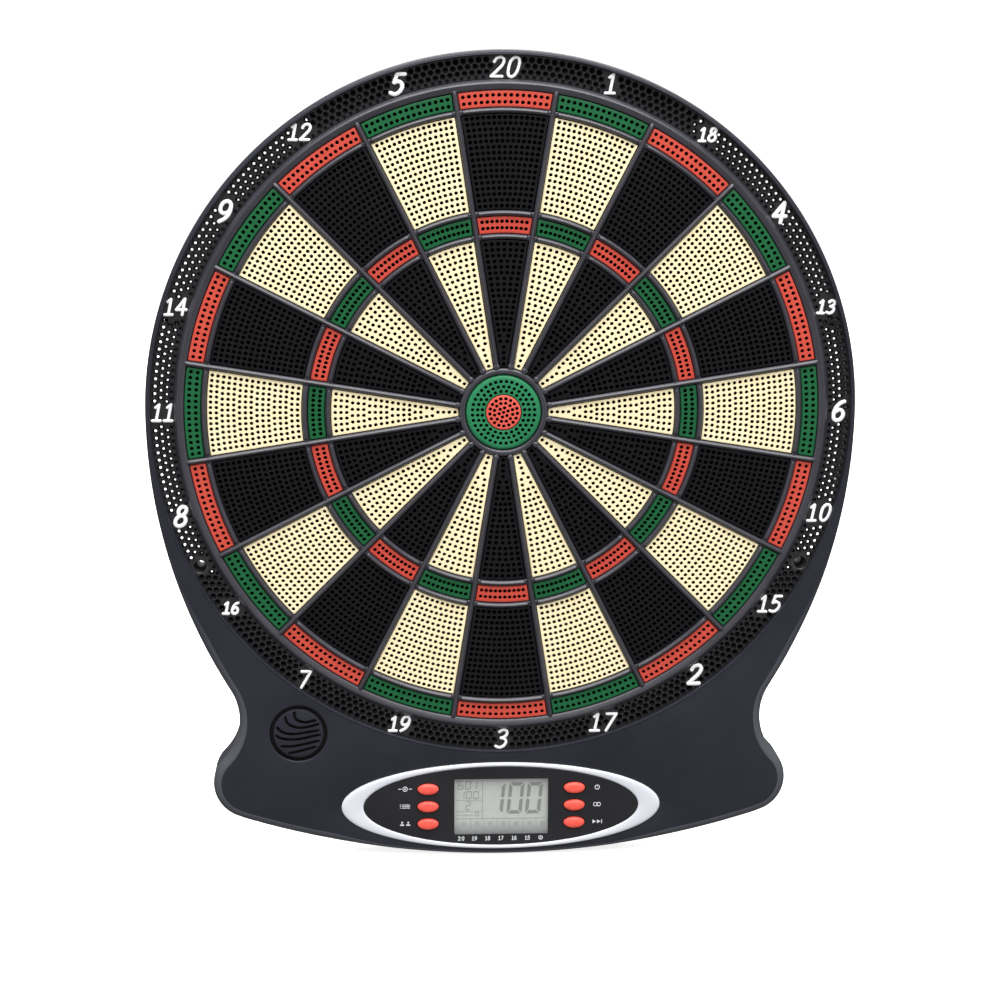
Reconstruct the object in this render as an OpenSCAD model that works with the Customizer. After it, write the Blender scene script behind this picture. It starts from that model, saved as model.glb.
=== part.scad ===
// Electronic dartboard: a soft-tip target of separate scoring segments in a
// wall-hung housing with a score display. Millimetres. The part's frame has
// +X to the player's right, +Z up and +Y into the wall; the origin is on the
// wall plane behind the bull. Every module is drawn flat first, with x right,
// y up and z the height above the wall, and wall_frame() then stands it up.

/* [Target] */
// Radius of the round body around the target
body_r = 191.3; // [190:0.1:192]
// Outer radius of the scoring area (outer edge of the doubles)
double_r = 170.2; // [169.8:0.1:170.4]
// Width of the radial and ring ribs of the spider
rib_w = 2.8; // [2.4:0.1:3]
// Gap between a segment's face and the rib beside it
rib_gap = 0.35; // [0.3:0.05:0.5]
// Radius of the inner bull
inner_bull_r = 9.4; // [9:0.1:9.5]
// Radius of the outer bull
outer_bull_r = 20.2; // [20:0.05:20.25]

/* [Depth] */
// Height of the housing's front face above the wall
face_h = 24.5; // [24.5:0.1:25]
// Height of the segment faces above the wall
segment_h = 24.0; // [23.5:0.1:24.2]
// Height of the spider's ridges above the wall
ridge_h = 25.8; // [25.6:0.1:26]
// How far a segment or bull travels when it is hit
segment_travel = 1.2; // [0.8:0.1:1.2]

/* [Control panel] */
// Half width of the bright oval trim
trim_a = 88.2; // [87:0.1:88.5]
// Half height of the bright oval trim
trim_b = 24.7; // [24.2:0.1:24.8]
// Half width of the dark panel inside the trim
panel_a = 76.2; // [75.5:0.1:76.5]
// Half height of the dark panel inside the trim
panel_b = 22.65; // [22.4:0.05:22.7]
// Width of the display window
window_w = 51.9; // [50:0.1:52.5]
// Height of the display window
window_h = 31.6; // [31:0.1:32]
// Sideways distance of the button columns from the middle
button_x = 40.5; // [40:0.1:41]
// Distance between the buttons of one column
button_pitch = 10.0; // [9.6:0.1:10]
// How far a button travels
button_travel = 1.0; // [0.6:0.1:1]

/* [Fixings] */
// Distance between the two wall screw holes
wall_pitch = 327; // [324:0.5:330]
// Height of the wall screw holes, below the bull
wall_drop = 84; // [82:0.5:86]
// Radius of a wall screw hole
wall_hole_r = 2.2; // [2:0.1:2.4]
// Radius of the keyhole's round mouth
keyhole_r = 4.5; // [4.2:0.1:4.8]
// Height of the keyhole above the bull
keyhole_y = 140; // [138:1:142]

/* [Hidden] */
$fn = 96;

// colours
c_body = [0.17, 0.17, 0.20];
c_rib = [0.23, 0.23, 0.25];
c_black = [0.07, 0.07, 0.08];
c_cream = [0.98, 0.92, 0.74];
c_red = [0.88, 0.25, 0.17];
c_green = [0.06, 0.42, 0.22];
c_silver = [0.86, 0.87, 0.90];
c_button = [1.0, 0.36, 0.30];

// ring ribs: middle radius of each, from the triples' inner edge outwards
pitch_half = rib_w / 2 + rib_gap;      // rib middle to segment edge
rib_a = 94.05;                          // inner singles | triples
rib_b = 106.4;                          // triples | outer singles
rib_c = double_r - 8.5 - pitch_half;    // outer singles | doubles
collar_in = outer_bull_r + rib_gap;
collar_out = 23.85;
single_in = collar_out + rib_gap;
rim_in = double_r + rib_gap;            // spider's outer ring
rim_out = 175.9;
seat_r = rim_out + 0.3;                 // round wall that holds the spider
seat_wall_r = 178.4;
mesh_out = 188.2;
mesh_top = 21.8;
mesh_low = 19.4;

// depth stack, heights above the wall
cover_t = 2.0;
plate_z = 6.8;
plate_t = 2.0;
film_z = plate_z + plate_t;
film_t = 0.3;
mat_z = film_z + film_t;
mat_t = 1.0;
foot_z = 11.9;                          // rear of the segments at rest
flange_t = 1.5;
rib_z = 13.7;                           // rear of the spider
pocket_z = 18;                          // hollow of the segments ends here
wall_under = 21.9;                      // inside of the housing's front wall
pocket_floor = 23.0;                    // oval recess for the control panel

panel_y = -219.9;
window_y = -220.4;
button_y = -220.0;
speaker_x = -111.5;
speaker_y = -177.5;
board_top = -201;
board_bottom = -237;
board_half = 60;
board_z = 12.0;
board_t = 1.6;

bay_x0 = 92.3; bay_x1 = 136.9;          // battery bay, inside
bay_y0 = -216.5; bay_y1 = -164.0;
bay_wall = 1.6;
bay_top = 17.2;
door_gap = 0.35;
door_z0 = 0.2; door_t = 2.0;
hinge_z = door_z0 + door_t / 2;
hinge_y = bay_y1 - door_gap - door_t / 2;
cell_r = 7.1;
cell_pitch = 14.8;
cell_z = 9.8;

rear_screw_at = [[77.5, 166.1], [177.1, 47.4], [126, -139], [147, -207], [34.4, -241.1]];
board_screw_at = [[55, -204.5], [55, -233.5]];

// ---- outline of the body -------------------------------------------------
// Right half: the circle, a long side arc, the hollow of the waist, the
// rounded lower corner and the shallow bottom arc. Each arc is tangent to the
// next, so an inset of i only changes the radii.
side_c = [-105, 0];      side_r = body_r + 105;
corner_c = [138.4, -206.3]; corner_r = 20;
waist_c = [175.5, -170.2];  waist_r = 31.8;
bottom_c = [0, 218.2];   bottom_r = 466.7;
function dir(a, b) = atan2(b[1] - a[1], b[0] - a[0]);
function arc_pts(c, r, a0, a1, n) =
  [for (k = [0:n]) let (a = a0 + (a1 - a0) * k / n) [c[0] + r * cos(a), c[1] + r * sin(a)]];
function right_side(i) = let (
    s = dir(side_c, waist_c),
    w0 = dir(waist_c, side_c), w1 = dir(waist_c, corner_c) + 360,
    k0 = dir(corner_c, waist_c), k1 = dir(bottom_c, corner_c)
  ) concat(
    arc_pts([0, 0], body_r - i, 90, 0, 40),
    [for (p = arc_pts(side_c, side_r - i, 0, s, 16)) if (p[0] > 0) p],
    arc_pts(waist_c, waist_r + i, w0, w1, 10),
    arc_pts(corner_c, corner_r - i, k0, k1, 14),
    arc_pts(bottom_c, bottom_r - i, k1, -90, 16));
function no_repeats(p) = [for (k = [0:len(p) - 1])
  if (k == 0 || norm(p[k] - p[max(k - 1, 0)]) > 0.02) p[k]];
function outline_pts(i) = let (r = no_repeats(right_side(i)), n = len(r)) concat(
  r, [for (k = [n - 2:-1:1]) [-r[k][0], r[k][1]]]);
module outline(i = 0) { polygon(outline_pts(i)); }

module wall_frame() { rotate([90, 0, 0]) children(); }
module slab(z0, z1) { translate([0, 0, z0]) linear_extrude(z1 - z0) children(); }
module both_sides() { children(); mirror([1, 0, 0]) children(); }
module ring(r0, r1, z0, z1) {
  rotate_extrude($fn = 180) translate([r0, z0]) square([r1 - r0, z1 - z0]);
}
function ellipse_pts(a, b, n = 96) =
  [for (k = [0:n - 1]) [a * cos(360 * k / n), b * sin(360 * k / n)]];
module oval(a, b, x = 0, y = 0, n = 96) { translate([x, y]) polygon(ellipse_pts(a, b, n)); }

// ---- front housing -------------------------------------------------------
// Slots of the speaker grille: arcs around a point up and to the right.
module grille_slots() {
  translate([speaker_x, speaker_y]) {
    for (k = [0:5]) intersection() {
      circle(r = 13.2);
      translate([3.5, 13.5]) difference() {
        circle(r = 5.2 + 3.9 * k);
        circle(r = 3.8 + 3.9 * k);
      }
      // each slot stops short at one end, so the bars stay joined
      translate([k % 2 == 0 ? -11.5 : -13.5, -14]) square([25, 28]);
    }
  }
}
module wall_screw_hole() {
  translate([wall_pitch / 2, -wall_drop, -1]) cylinder(r = wall_hole_r, h = 40);
  translate([wall_pitch / 2, -wall_drop, 12]) cylinder(r = 3.3, h = 20);
}
module front_housing() {
  color(c_body) wall_frame() {
    difference() {
      union() {
        slab(0, 20.5) outline(0);
        slab(20.4, 22.8) outline(0.5);
        slab(22.7, 23.8) outline(1.2);
        slab(23.7, face_h) outline(1.9);
      }
      // round seat of the spider, with a lip that the spider and the backing
      // plate rest on
      rotate_extrude($fn = 180) polygon([[0, -1], [seat_r, -1], [seat_r, film_z], [173.2, film_z],
        [173.2, rib_z], [seat_r, rib_z], [seat_r, mesh_top], [mesh_out, mesh_top],
        [mesh_out, 30], [0, 30]]);
      // hollow behind the catch ring and the lower body
      slab(-1, mesh_low) difference() { outline(2.4); circle(r = seat_wall_r, $fn = 180); }
      slab(mesh_low - 0.1, wall_under) intersection() {
        difference() { outline(2.6); circle(r = body_r + 0.2, $fn = 180); }
        translate([-200, -260]) square([400, 140]);
      }
      // the round wall ends where the rear cover lies on it
      slab(-1, cover_t) difference() { circle(r = seat_wall_r + 0.05, $fn = 180); circle(r = seat_r - 1, $fn = 180); }
      // recess of the control panel, and its openings
      slab(pocket_floor, 30) oval(trim_a + 0.25, trim_b + 0.25, 0, panel_y);
      slab(20, 24) translate([-window_w / 2 + 0.45, window_y - window_h / 2 + 0.45])
        square([window_w - 0.9, window_h - 0.9]);
      for (s = [-1, 1], k = [-1:1]) slab(20, 24)
        oval(5.9 + rib_gap, 3.1 + rib_gap, s * button_x, button_y + k * button_pitch, 40);
      // speaker grille: a shallow round recess and its slots
      slab(face_h - 0.8, 30) translate([speaker_x, speaker_y]) circle(r = 15.5);
      slab(20, 30) grille_slots();
      // slot in the round wall for the film's tail
      translate([-13, -180, 7.5]) cube([26, 10, 3]);
      // wall screw holes go through the catch ring and their own posts
      both_sides() wall_screw_hole();
    }
    both_sides() {
      // post of a wall screw
      difference() {
        translate([wall_pitch / 2, -wall_drop, 0]) cylinder(r = 4.1, h = mesh_top);
        wall_screw_hole();
      }
      for (p = rear_screw_at) difference() {
        translate([p[0], p[1], 5.2]) cylinder(r = 3.3, h = (p[1] < -100 ? wall_under : mesh_low) - 5.1);
        translate([p[0], p[1], 4]) cylinder(r = 1.5, h = 12);
      }
      for (p = board_screw_at) difference() {
        translate([p[0], p[1], board_z + board_t]) cylinder(r = 2.6, h = wall_under - board_z - board_t + 0.1);
        translate([p[0], p[1], 10]) cylinder(r = 1.15, h = 11);
      }
    }
    // round wall around the speaker
    translate([speaker_x, speaker_y, 0]) ring(14.5, 16.1, 17.0, wall_under + 0.1);
  }
}

// ---- spider --------------------------------------------------------------
module ridge(w, top) {
  polygon([[-w / 2, rib_z], [w / 2, rib_z], [w / 2, top - 1.4], [w / 4, top], [-w / 4, top], [-w / 2, top - 1.4]]);
}
module spider_grid() {
  color(c_rib) wall_frame() {
    for (r = [rib_a, rib_b, rib_c]) rotate_extrude($fn = 180) translate([r, 0]) ridge(rib_w, ridge_h);
    rotate_extrude($fn = 120) polygon([[collar_in, rib_z], [collar_out, rib_z], [collar_out, 24.2],
      [collar_out - 0.9, 25.4], [collar_in + 0.9, 25.4], [collar_in, 24.4]]);
    rotate_extrude($fn = 180) polygon([[rim_in, rib_z], [rim_out, rib_z], [rim_out, 24.0],
      [rim_out - 1.3, 25.4], [rim_in + 1.3, 25.4], [rim_in, 24.0]]);
    for (k = [0:19]) rotate([0, 0, 9 + 18 * k]) translate([0, 22, 0])
      rotate([90, 0, 0]) mirror([0, 0, 1]) linear_extrude(151) ridge(rib_w, ridge_h - 0.02);
  }
}

// ---- scoring segments ----------------------------------------------------
// One number's wedge: its sides run parallel to the ribs, e from their middle.
module wedge(e, r0, r1) {
  t = e / sin(9);
  intersection() {
    difference() { circle(r = r1, $fn = 180); circle(r = r0, $fn = 180); }
    polygon([[0, t], [-300 * sin(9), t + 300 * cos(9)], [300 * sin(9), t + 300 * cos(9)]]);
  }
}
// r0..r1 is the visible face, f0..f1 the flange hidden under the ribs, h0 where
// the hollow behind the face starts, pins the feet that press the mat
module segment(r0, r1, f0, f1, h0, pins) {
  difference() {
    union() {
      slab(foot_z, segment_h) wedge(pitch_half, r0, r1);
      slab(foot_z, foot_z + flange_t) wedge(0.3, f0, f1);
    }
    slab(foot_z - 1, pocket_z) wedge(pitch_half + 1.6, h0, r1 - 1.6);
  }
  for (p = pins) translate([p[0], p[1], foot_z]) cylinder(r = 1.5, h = pocket_z - foot_z + 0.5, $fn = 32);
}
module number_segments(k, single, score) {
  wall_frame() rotate([0, 0, -18 * k]) {
    color(single) segment(single_in, rib_a - pitch_half, 22.6, rib_a - 0.3, 42, [[0, 56], [0, 70], [0, 84]]);
    color(score) segment(rib_a + pitch_half, rib_b - pitch_half, rib_a + 0.3, rib_b - 0.3, rib_a + pitch_half + 1.6, [[-7, 100], [7, 100]]);
    color(single) segment(rib_b + pitch_half, rib_c - pitch_half, rib_b + 0.3, rib_c - 0.3, rib_b + pitch_half + 1.6, [[-10, 120], [10, 120], [-12, 145], [12, 145]]);
    color(score) segment(rib_c + pitch_half, double_r, rib_c + 0.3, 172.6, rib_c + pitch_half + 1.6, [[-16, 165], [16, 165]]);
  }
}
module outer_bull() {
  color(c_green) wall_frame() rotate_extrude($fn = 120) polygon([[inner_bull_r + rib_gap, 14.7], [17, 14.7],
    [17, foot_z], [22, foot_z], [22, foot_z + flange_t], [outer_bull_r, foot_z + flange_t],
    [outer_bull_r, 24.0], [outer_bull_r - 1.4, 25.2], [inner_bull_r + rib_gap, 25.2]]);
}
module inner_bull() {
  color(c_red) wall_frame() rotate_extrude($fn = 96) polygon([[0, foot_z], [12.4, foot_z], [12.4, foot_z + 1.2],
    [inner_bull_r, foot_z + 1.2], [inner_bull_r, 24.7], [inner_bull_r - 0.5, 25.2], [0, 25.2]]);
}

// ---- numbers round the catch ring ---------------------------------------
numbers = [20, 1, 18, 4, 13, 6, 10, 15, 2, 17, 3, 19, 7, 16, 8, 11, 14, 9, 12, 5];
module number_inserts() {
  color("white") wall_frame() for (k = [0:19]) intersection() {
    ring(seat_r + 0.3, mesh_out - 0.3, mesh_top, mesh_top + 1.2);
    rotate([0, 0, -18 * k]) translate([0, 182.2, 0]) rotate([0, 0, 18 * k])
      translate([numbers[k] > 9 ? -6.2 : -3.6, -6.1, mesh_top]) cube([numbers[k] > 9 ? 12.4 : 7.2, 12.2, 1.2]);
  }
}

// ---- rear cover, battery bay and door -----------------------------------
module cover_shape() {
  circle(r = 177.9, $fn = 180);
  intersection() {
    circle(r = 188.0, $fn = 180);
    polygon([[0, 0], [-300 * sin(34), 300 * cos(34)], [300 * sin(34), 300 * cos(34)]]);
  }
  intersection() { outline(2.7); translate([-200, -260]) square([400, 167]); }
}
module bay_rect(g) {
  translate([bay_x0 - g, bay_y0 - g]) square([bay_x1 - bay_x0 + 2 * g, bay_y1 - bay_y0 + 2 * g]);
}
module rear_cover() {
  color(c_body) wall_frame() difference() {
    union() {
      slab(0, cover_t) cover_shape();
      both_sides() translate([rear_screw_at[1][0], rear_screw_at[1][1], 0]) cylinder(r = 4.4, h = cover_t);
      both_sides() for (p = [[170, 45.6]]) translate([p[0], p[1] - 3, 0]) cube([7, 6, cover_t]);
      // cups of the cover screws
      intersection() {
        both_sides() for (p = rear_screw_at) translate([p[0], p[1], 0]) cylinder(r = 4.2, h = 5.0);
        slab(-1, 9) outline(2.7);
      }
      // ribs that hold the backing plate forward
      for (r = [58, 108, 158]) ring(r, r + 1.8, 1, plate_z - 0.1);
      for (k = [0:9]) rotate([0, 0, 36 * k + 18]) translate([-0.9, 59, 1]) cube([1.8, 100, plate_z - 1.1]);
      // battery bay
      slab(1, bay_top + bay_wall) bay_rect(bay_wall);
    }
    slab(cover_t + 0.6, bay_top) bay_rect(0);
    slab(-1, bay_top) bay_rect(0);
    // hinge pin holes of the battery door
    translate([bay_x0 - 1.3, hinge_y, hinge_z]) rotate([0, 90, 0]) cylinder(r = 0.75, h = bay_x1 - bay_x0 + 2.6, $fn = 32);
    // finger notch at the door's free edge
    translate([(bay_x0 + bay_x1) / 2 - 7, bay_y0 - 1.2, -1]) cube([14, 3, 2.2]);
    // wires leave the bay here
    translate([bay_x0 - 3, -196, 13.5]) cube([4, 5, 2.6]);
    both_sides() for (p = rear_screw_at) {
      translate([p[0], p[1], -1]) cylinder(r = 1.7, h = 9);
      translate([p[0], p[1], -1]) cylinder(r = 3.1, h = 3.6);
    }
    // keyhole for hanging on one screw
    translate([0, keyhole_y, -1]) cylinder(r = keyhole_r, h = 4);
    translate([-2.3, keyhole_y, -1]) cube([4.6, 10.5, 4]);
    translate([0, keyhole_y + 10.5, -1]) cylinder(r = 2.3, h = 4);
  }
}
module battery_door() {
  x0 = bay_x0 + door_gap; x1 = bay_x1 - door_gap;
  color(c_body) wall_frame() {
    translate([x0, bay_y0 + door_gap, door_z0]) cube([x1 - x0, hinge_y - bay_y0 - door_gap, door_t]);
    translate([x0, hinge_y, hinge_z]) rotate([0, 90, 0]) cylinder(r = door_t / 2, h = x1 - x0);
    translate([x0 - 1.2, hinge_y, hinge_z]) rotate([0, 90, 0]) cylinder(r = 0.7, h = x1 - x0 + 2.4, $fn = 32);
  }
}
module pan_screw(head_r, head_h, shank_r, length) {
  // head at z 0, shank upwards, with a crossed drive
  difference() {
    union() {
      cylinder(r = head_r, h = head_h, $fn = 32);
      cylinder(r = shank_r, h = length, $fn = 24);
    }
    translate([-head_r * 0.6, -0.3, -1]) cube([head_r * 1.2, 0.6, 1 + head_h * 0.55]);
    translate([-0.3, -head_r * 0.6, -1]) cube([0.6, head_r * 1.2, 1 + head_h * 0.55]);
  }
}
module rear_screws() {
  color(c_silver) wall_frame() both_sides() for (p = rear_screw_at)
    translate([p[0], p[1], 0.6]) pan_screw(2.8, 2.0, 1.4, 13);
}
module battery_cells() {
  color([0.2, 0.45, 0.35]) wall_frame() for (k = [-1:1]) {
    up = k == 0 ? -1 : 1;
    translate([(bay_x0 + bay_x1) / 2 + k * cell_pitch, (bay_y0 + bay_y1) / 2, cell_z])
      rotate([-90 * up, 0, 0]) {
        translate([0, 0, -24.4]) cylinder(r = cell_r, h = 48, $fn = 64);
        translate([0, 0, 23.6]) cylinder(r = 2.7, h = 1.2, $fn = 32);
      }
  }
}
module battery_contacts() {
  color(c_silver) wall_frame() for (k = [-1:1], s = [-1, 1]) {
    x = (bay_x0 + bay_x1) / 2 + k * cell_pitch;
    spring = (k == 0 ? 1 : -1) == s;       // spring on the cell's flat end
    y = s > 0 ? bay_y1 : bay_y0;
    translate([x - 4.5, s > 0 ? y - 0.5 : y, cell_z - 4.5]) cube([9, 0.5, 9]);
    if (spring) translate([x, y - s * 0.5, cell_z]) rotate([s * 90, 0, 0]) {
      cylinder(r = 3.2, h = 0.6, $fn = 32);
      cylinder(r = 2.2, h = 1.1, $fn = 32);
    }
  }
}

// ---- control panel -------------------------------------------------------
module fascia_trim() {
  color(c_silver) wall_frame() {
    slab(pocket_floor, 25.2) difference() { oval(trim_a, trim_b, 0, panel_y); oval(panel_a + 0.1, panel_b + 0.1, 0, panel_y); }
    slab(25.1, 25.6) difference() { oval(trim_a - 0.4, trim_b - 0.4, 0, panel_y); oval(panel_a + 0.3, panel_b + 0.3, 0, panel_y); }
  }
}
module fascia_panel() {
  color(c_black) wall_frame() slab(pocket_floor, 25.1) difference() {
    oval(panel_a, panel_b, 0, panel_y);
    translate([-window_w / 2 - 0.1, window_y - window_h / 2 - 0.1]) square([window_w + 0.2, window_h + 0.2]);
    for (s = [-1, 1], k = [-1:1]) oval(5.9 + rib_gap, 3.1 + rib_gap, s * button_x, button_y + k * button_pitch, 40);
  }
}
module lcd_window() {
  color([0.85, 0.9, 0.9, 0.4]) wall_frame()
    translate([-window_w / 2, window_y - window_h / 2, pocket_floor]) cube([window_w, window_h, 1.8]);
}
module lcd_glass() {
  color([0.75, 0.78, 0.74]) wall_frame() {
    translate([-28, window_y - 18.5, 20.7]) cube([56, 37, 1.1]);
    translate([-28, window_y - 16, 19.6]) cube([56, 34.5, 1.2]);
  }
}
module lcd_holder() {
  color("white") wall_frame() difference() {
    translate([-30.5, window_y - 20.2, board_z + board_t]) cube([61, 39.9, 21.8 - board_z - board_t]);
    translate([-28.2, window_y - 18.7, board_z]) cube([56.4, 37.4, 12]);
  }
}
module lcd_contact_strips() {
  color([0.5, 0.25, 0.4]) wall_frame() {
    translate([-25, window_y - 18.4, board_z + board_t]) cube([50, 2.2, 20.7 - board_z - board_t]);
    translate([-25, window_y + 12, board_z + board_t]) cube([50, 2.2, 19.6 - board_z - board_t]);
  }
}
module button(s, k) {
  color(c_button) wall_frame() translate([s * button_x, button_y + k * button_pitch, 0]) {
    slab(20.2, 26.3) oval(5.9, 3.1, n = 40);
    slab(26.2, 26.7) oval(5.5, 2.75, n = 40);
    slab(26.6, 27.0) oval(4.7, 2.1, n = 40);
    slab(20.2, 21.5) oval(7.1, 4.4, n = 40);
    translate([0, 0, 17.6]) cylinder(r = 1.6, h = 3, $fn = 32);
  }
}
module keypad_mats() {
  color([0.8, 0.8, 0.82]) wall_frame() both_sides() {
    translate([button_x - 7, button_y - 15, board_z + board_t]) cube([14, 30, 0.8]);
    for (k = [-1:1]) translate([button_x, button_y + k * button_pitch, board_z + board_t])
      rotate_extrude($fn = 48) polygon([[0, 0], [4.2, 0], [4.2, 0.9], [2.6, 2.6], [0, 2.6]]);
  }
}
module main_board() {
  color([0.1, 0.4, 0.2]) wall_frame() difference() {
    translate([-board_half, board_bottom, board_z]) cube([2 * board_half, board_top - board_bottom, board_t]);
    both_sides() for (p = board_screw_at) translate([p[0], p[1], board_z - 1]) cylinder(r = 1.3, h = 4, $fn = 32);
  }
}
module board_components() {
  color([0.1, 0.1, 0.1]) wall_frame() {
    // controller under its resin cap, between the board and the display
    translate([0, window_y - 1, board_z + board_t]) rotate_extrude($fn = 64) polygon([[0, 0], [9, 0], [8.2, 1.4], [5, 2.1], [0, 2.3]]);
    // film connector
    translate([-14, -207, 8.2]) cube([28, 5.5, board_z - 8.2]);
    // two upright capacitors and a crystal lie behind the board
    translate([26, -214, board_z - 5]) cylinder(r = 2.6, h = 5, $fn = 40);
    translate([33, -214, board_z - 5]) cylinder(r = 2.6, h = 5, $fn = 40);
    translate([-32, -226, board_z - 3.4]) cube([10.5, 4.2, 3.4]);
    // wire sockets
    translate([-57, -222, board_z - 4]) cube([6, 7, 4]);
    translate([48, -222, board_z - 4]) cube([6, 7, 4]);
  }
}
module board_screws() {
  color(c_silver) wall_frame() both_sides() for (p = board_screw_at)
    translate([p[0], p[1], board_z - 1.4]) pan_screw(2.3, 1.4, 1.1, 8.5);
}

// ---- speaker -------------------------------------------------------------
module speaker_driver() {
  color([0.6, 0.6, 0.62]) wall_frame() translate([speaker_x, speaker_y, 0]) {
    rotate_extrude($fn = 96) polygon([[0, 13.4], [7.6, 13.4], [7.6, 16.6], [9, 17.4], [13.9, 19.8], [13.9, 21.6],
      [12.6, 21.6], [12.6, 20.1], [8, 18.0], [0, 18.0]]);
    translate([-3, 7, 14.2]) cube([6, 3, 1.6]);
  }
}
module speaker_cone() {
  color([0.15, 0.15, 0.15]) wall_frame() translate([speaker_x, speaker_y, 0])
    rotate_extrude($fn = 96) polygon([[0, 18.6], [5, 18.6], [12.5, 20.6], [12.5, 21.0], [5, 19.1], [3.2, 19.9], [0, 20.2]]);
}
module speaker_retainer() {
  color(c_body) wall_frame() translate([speaker_x, speaker_y, 0])
    rotate_extrude($fn = 96) polygon([[10.5, 17.0], [14.4, 17.0], [14.4, 19.7], [14.1, 19.7], [10.5, 17.9]]);
}

// ---- internal wires ------------------------------------------------------
function unit(v) = v / norm(v);
// a round tube along points, as rings of eight sides
module tube(p, r) {
  n = len(p); m = 8;
  t = [for (i = [0:n - 1]) unit(p[min(i + 1, n - 1)] - p[max(i - 1, 0)])];
  rings = [for (i = [0:n - 1]) let (u = unit(cross(t[i], [0.13, 0.21, 0.97])), v = cross(t[i], u))
    for (k = [0:m - 1]) p[i] + r * (cos(360 * k / m) * u + sin(360 * k / m) * v)];
  polyhedron(rings, concat(
    [[for (k = [0:m - 1]) k]],
    [for (i = [0:n - 2], k = [0:m - 1]) let (a = i * m + k, b = i * m + (k + 1) % m) [a, a + m, b + m, b]],
    [[for (k = [m - 1:-1:0]) (n - 1) * m + k]]));
}
speaker_run = [[-110, -167, 13], [-108, -166, 10], [-100, -170, 7], [-90, -184, 6], [-80, -200, 6], [-72, -212, 7],
  [-64, -217, 9], [-57.1, -217.5, 10]];
battery_run = [[90.5, -193.5, 14.8], [84, -194, 14.5], [76, -198, 12], [70, -206, 9], [64, -212, 8], [58, -217, 9], [54.1, -217.5, 10]];
module speaker_wires() {
  color("red") wall_frame() { tube(speaker_run, 0.6); tube([for (q = speaker_run) q + [0, -2.2, 0]], 0.6); }
}
module battery_wires() {
  color("red") wall_frame() { tube(battery_run, 0.6); tube([for (q = battery_run) q + [0, -2.2, 0]], 0.6); }
}

// ---- sensing stack behind the segments -----------------------------------
module backing_plate() { color([0.55, 0.45, 0.3]) wall_frame() cylinder_at(175.8, plate_z, plate_t); }
module cylinder_at(r, z, h) { translate([0, 0, z]) cylinder(r = r, h = h, $fn = 180); }
module silicone_mat() { color([0.75, 0.75, 0.78]) wall_frame() cylinder_at(172.5, mat_z, mat_t); }
module sensor_film() {
  color([0.8, 0.75, 0.5]) wall_frame() {
    cylinder_at(172.5, film_z, film_t);
    translate([-12, -201.5, film_z]) cube([24, 40, film_t]);
  }
}

front_housing();
spider_grid();
number_inserts();
rear_cover();
battery_door();
rear_screws();
fascia_trim();
fascia_panel();
lcd_window();
lcd_glass();
lcd_holder();
lcd_contact_strips();
button(-1, 1);  // button_left_top
button(-1, 0);  // button_left_middle
button(-1, -1);  // button_left_bottom
button(1, 1);  // button_right_top
button(1, 0);  // button_right_middle
button(1, -1);  // button_right_bottom
keypad_mats();
main_board();
board_components();
board_screws();
speaker_driver();
speaker_cone();
speaker_retainer();
speaker_wires();
battery_cells();
battery_contacts();
battery_wires();
backing_plate();
silicone_mat();
sensor_film();
outer_bull();
inner_bull();
number_segments(0, c_black, c_red);  // segments_20
number_segments(1, c_cream, c_green);  // segments_01
number_segments(2, c_black, c_red);  // segments_18
number_segments(3, c_cream, c_green);  // segments_04
number_segments(4, c_black, c_red);  // segments_13
number_segments(5, c_cream, c_green);  // segments_06
number_segments(6, c_black, c_red);  // segments_10
number_segments(7, c_cream, c_green);  // segments_15
number_segments(8, c_black, c_red);  // segments_02
number_segments(9, c_cream, c_green);  // segments_17
number_segments(10, c_black, c_red);  // segments_03
number_segments(11, c_cream, c_green);  // segments_19
number_segments(12, c_black, c_red);  // segments_07
number_segments(13, c_cream, c_green);  // segments_16
number_segments(14, c_black, c_red);  // segments_08
number_segments(15, c_cream, c_green);  // segments_11
number_segments(16, c_black, c_red);  // segments_14
number_segments(17, c_cream, c_green);  // segments_09
number_segments(18, c_black, c_red);  // segments_12
number_segments(19, c_cream, c_green);  // segments_05
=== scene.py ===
"""Electronic soft-tip dartboard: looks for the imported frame."""
import math

import bpy
import numpy as np
from mathutils import Matrix, Vector
from mathutils.geometry import delaunay_2d_cdt


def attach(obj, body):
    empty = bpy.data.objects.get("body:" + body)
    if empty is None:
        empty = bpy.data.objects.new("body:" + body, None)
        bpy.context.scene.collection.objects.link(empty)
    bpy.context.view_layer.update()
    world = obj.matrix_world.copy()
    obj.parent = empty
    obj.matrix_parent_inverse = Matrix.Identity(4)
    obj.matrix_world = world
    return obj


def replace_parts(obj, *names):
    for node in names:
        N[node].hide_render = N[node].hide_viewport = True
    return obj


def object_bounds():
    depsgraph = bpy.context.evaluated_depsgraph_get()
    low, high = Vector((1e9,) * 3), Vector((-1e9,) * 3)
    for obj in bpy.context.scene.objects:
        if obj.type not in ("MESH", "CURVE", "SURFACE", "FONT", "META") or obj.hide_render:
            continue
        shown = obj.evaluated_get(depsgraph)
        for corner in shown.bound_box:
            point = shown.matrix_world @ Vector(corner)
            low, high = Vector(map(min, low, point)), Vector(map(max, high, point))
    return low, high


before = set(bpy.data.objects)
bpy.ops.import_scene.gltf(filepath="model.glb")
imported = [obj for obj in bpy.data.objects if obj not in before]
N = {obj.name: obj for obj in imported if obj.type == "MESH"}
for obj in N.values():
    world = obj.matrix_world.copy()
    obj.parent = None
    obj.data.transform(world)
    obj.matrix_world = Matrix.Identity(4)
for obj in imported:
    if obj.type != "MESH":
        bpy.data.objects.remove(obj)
lo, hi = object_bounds()
cad_box = [list(lo), list(hi)]

sin, cos, pi, rad = math.sin, math.cos, math.pi, math.radians

# ---------------------------------------------------------------- helpers
# Local drawing frame, as the part's source: x right, y up, h above the wall, mm.


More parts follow.
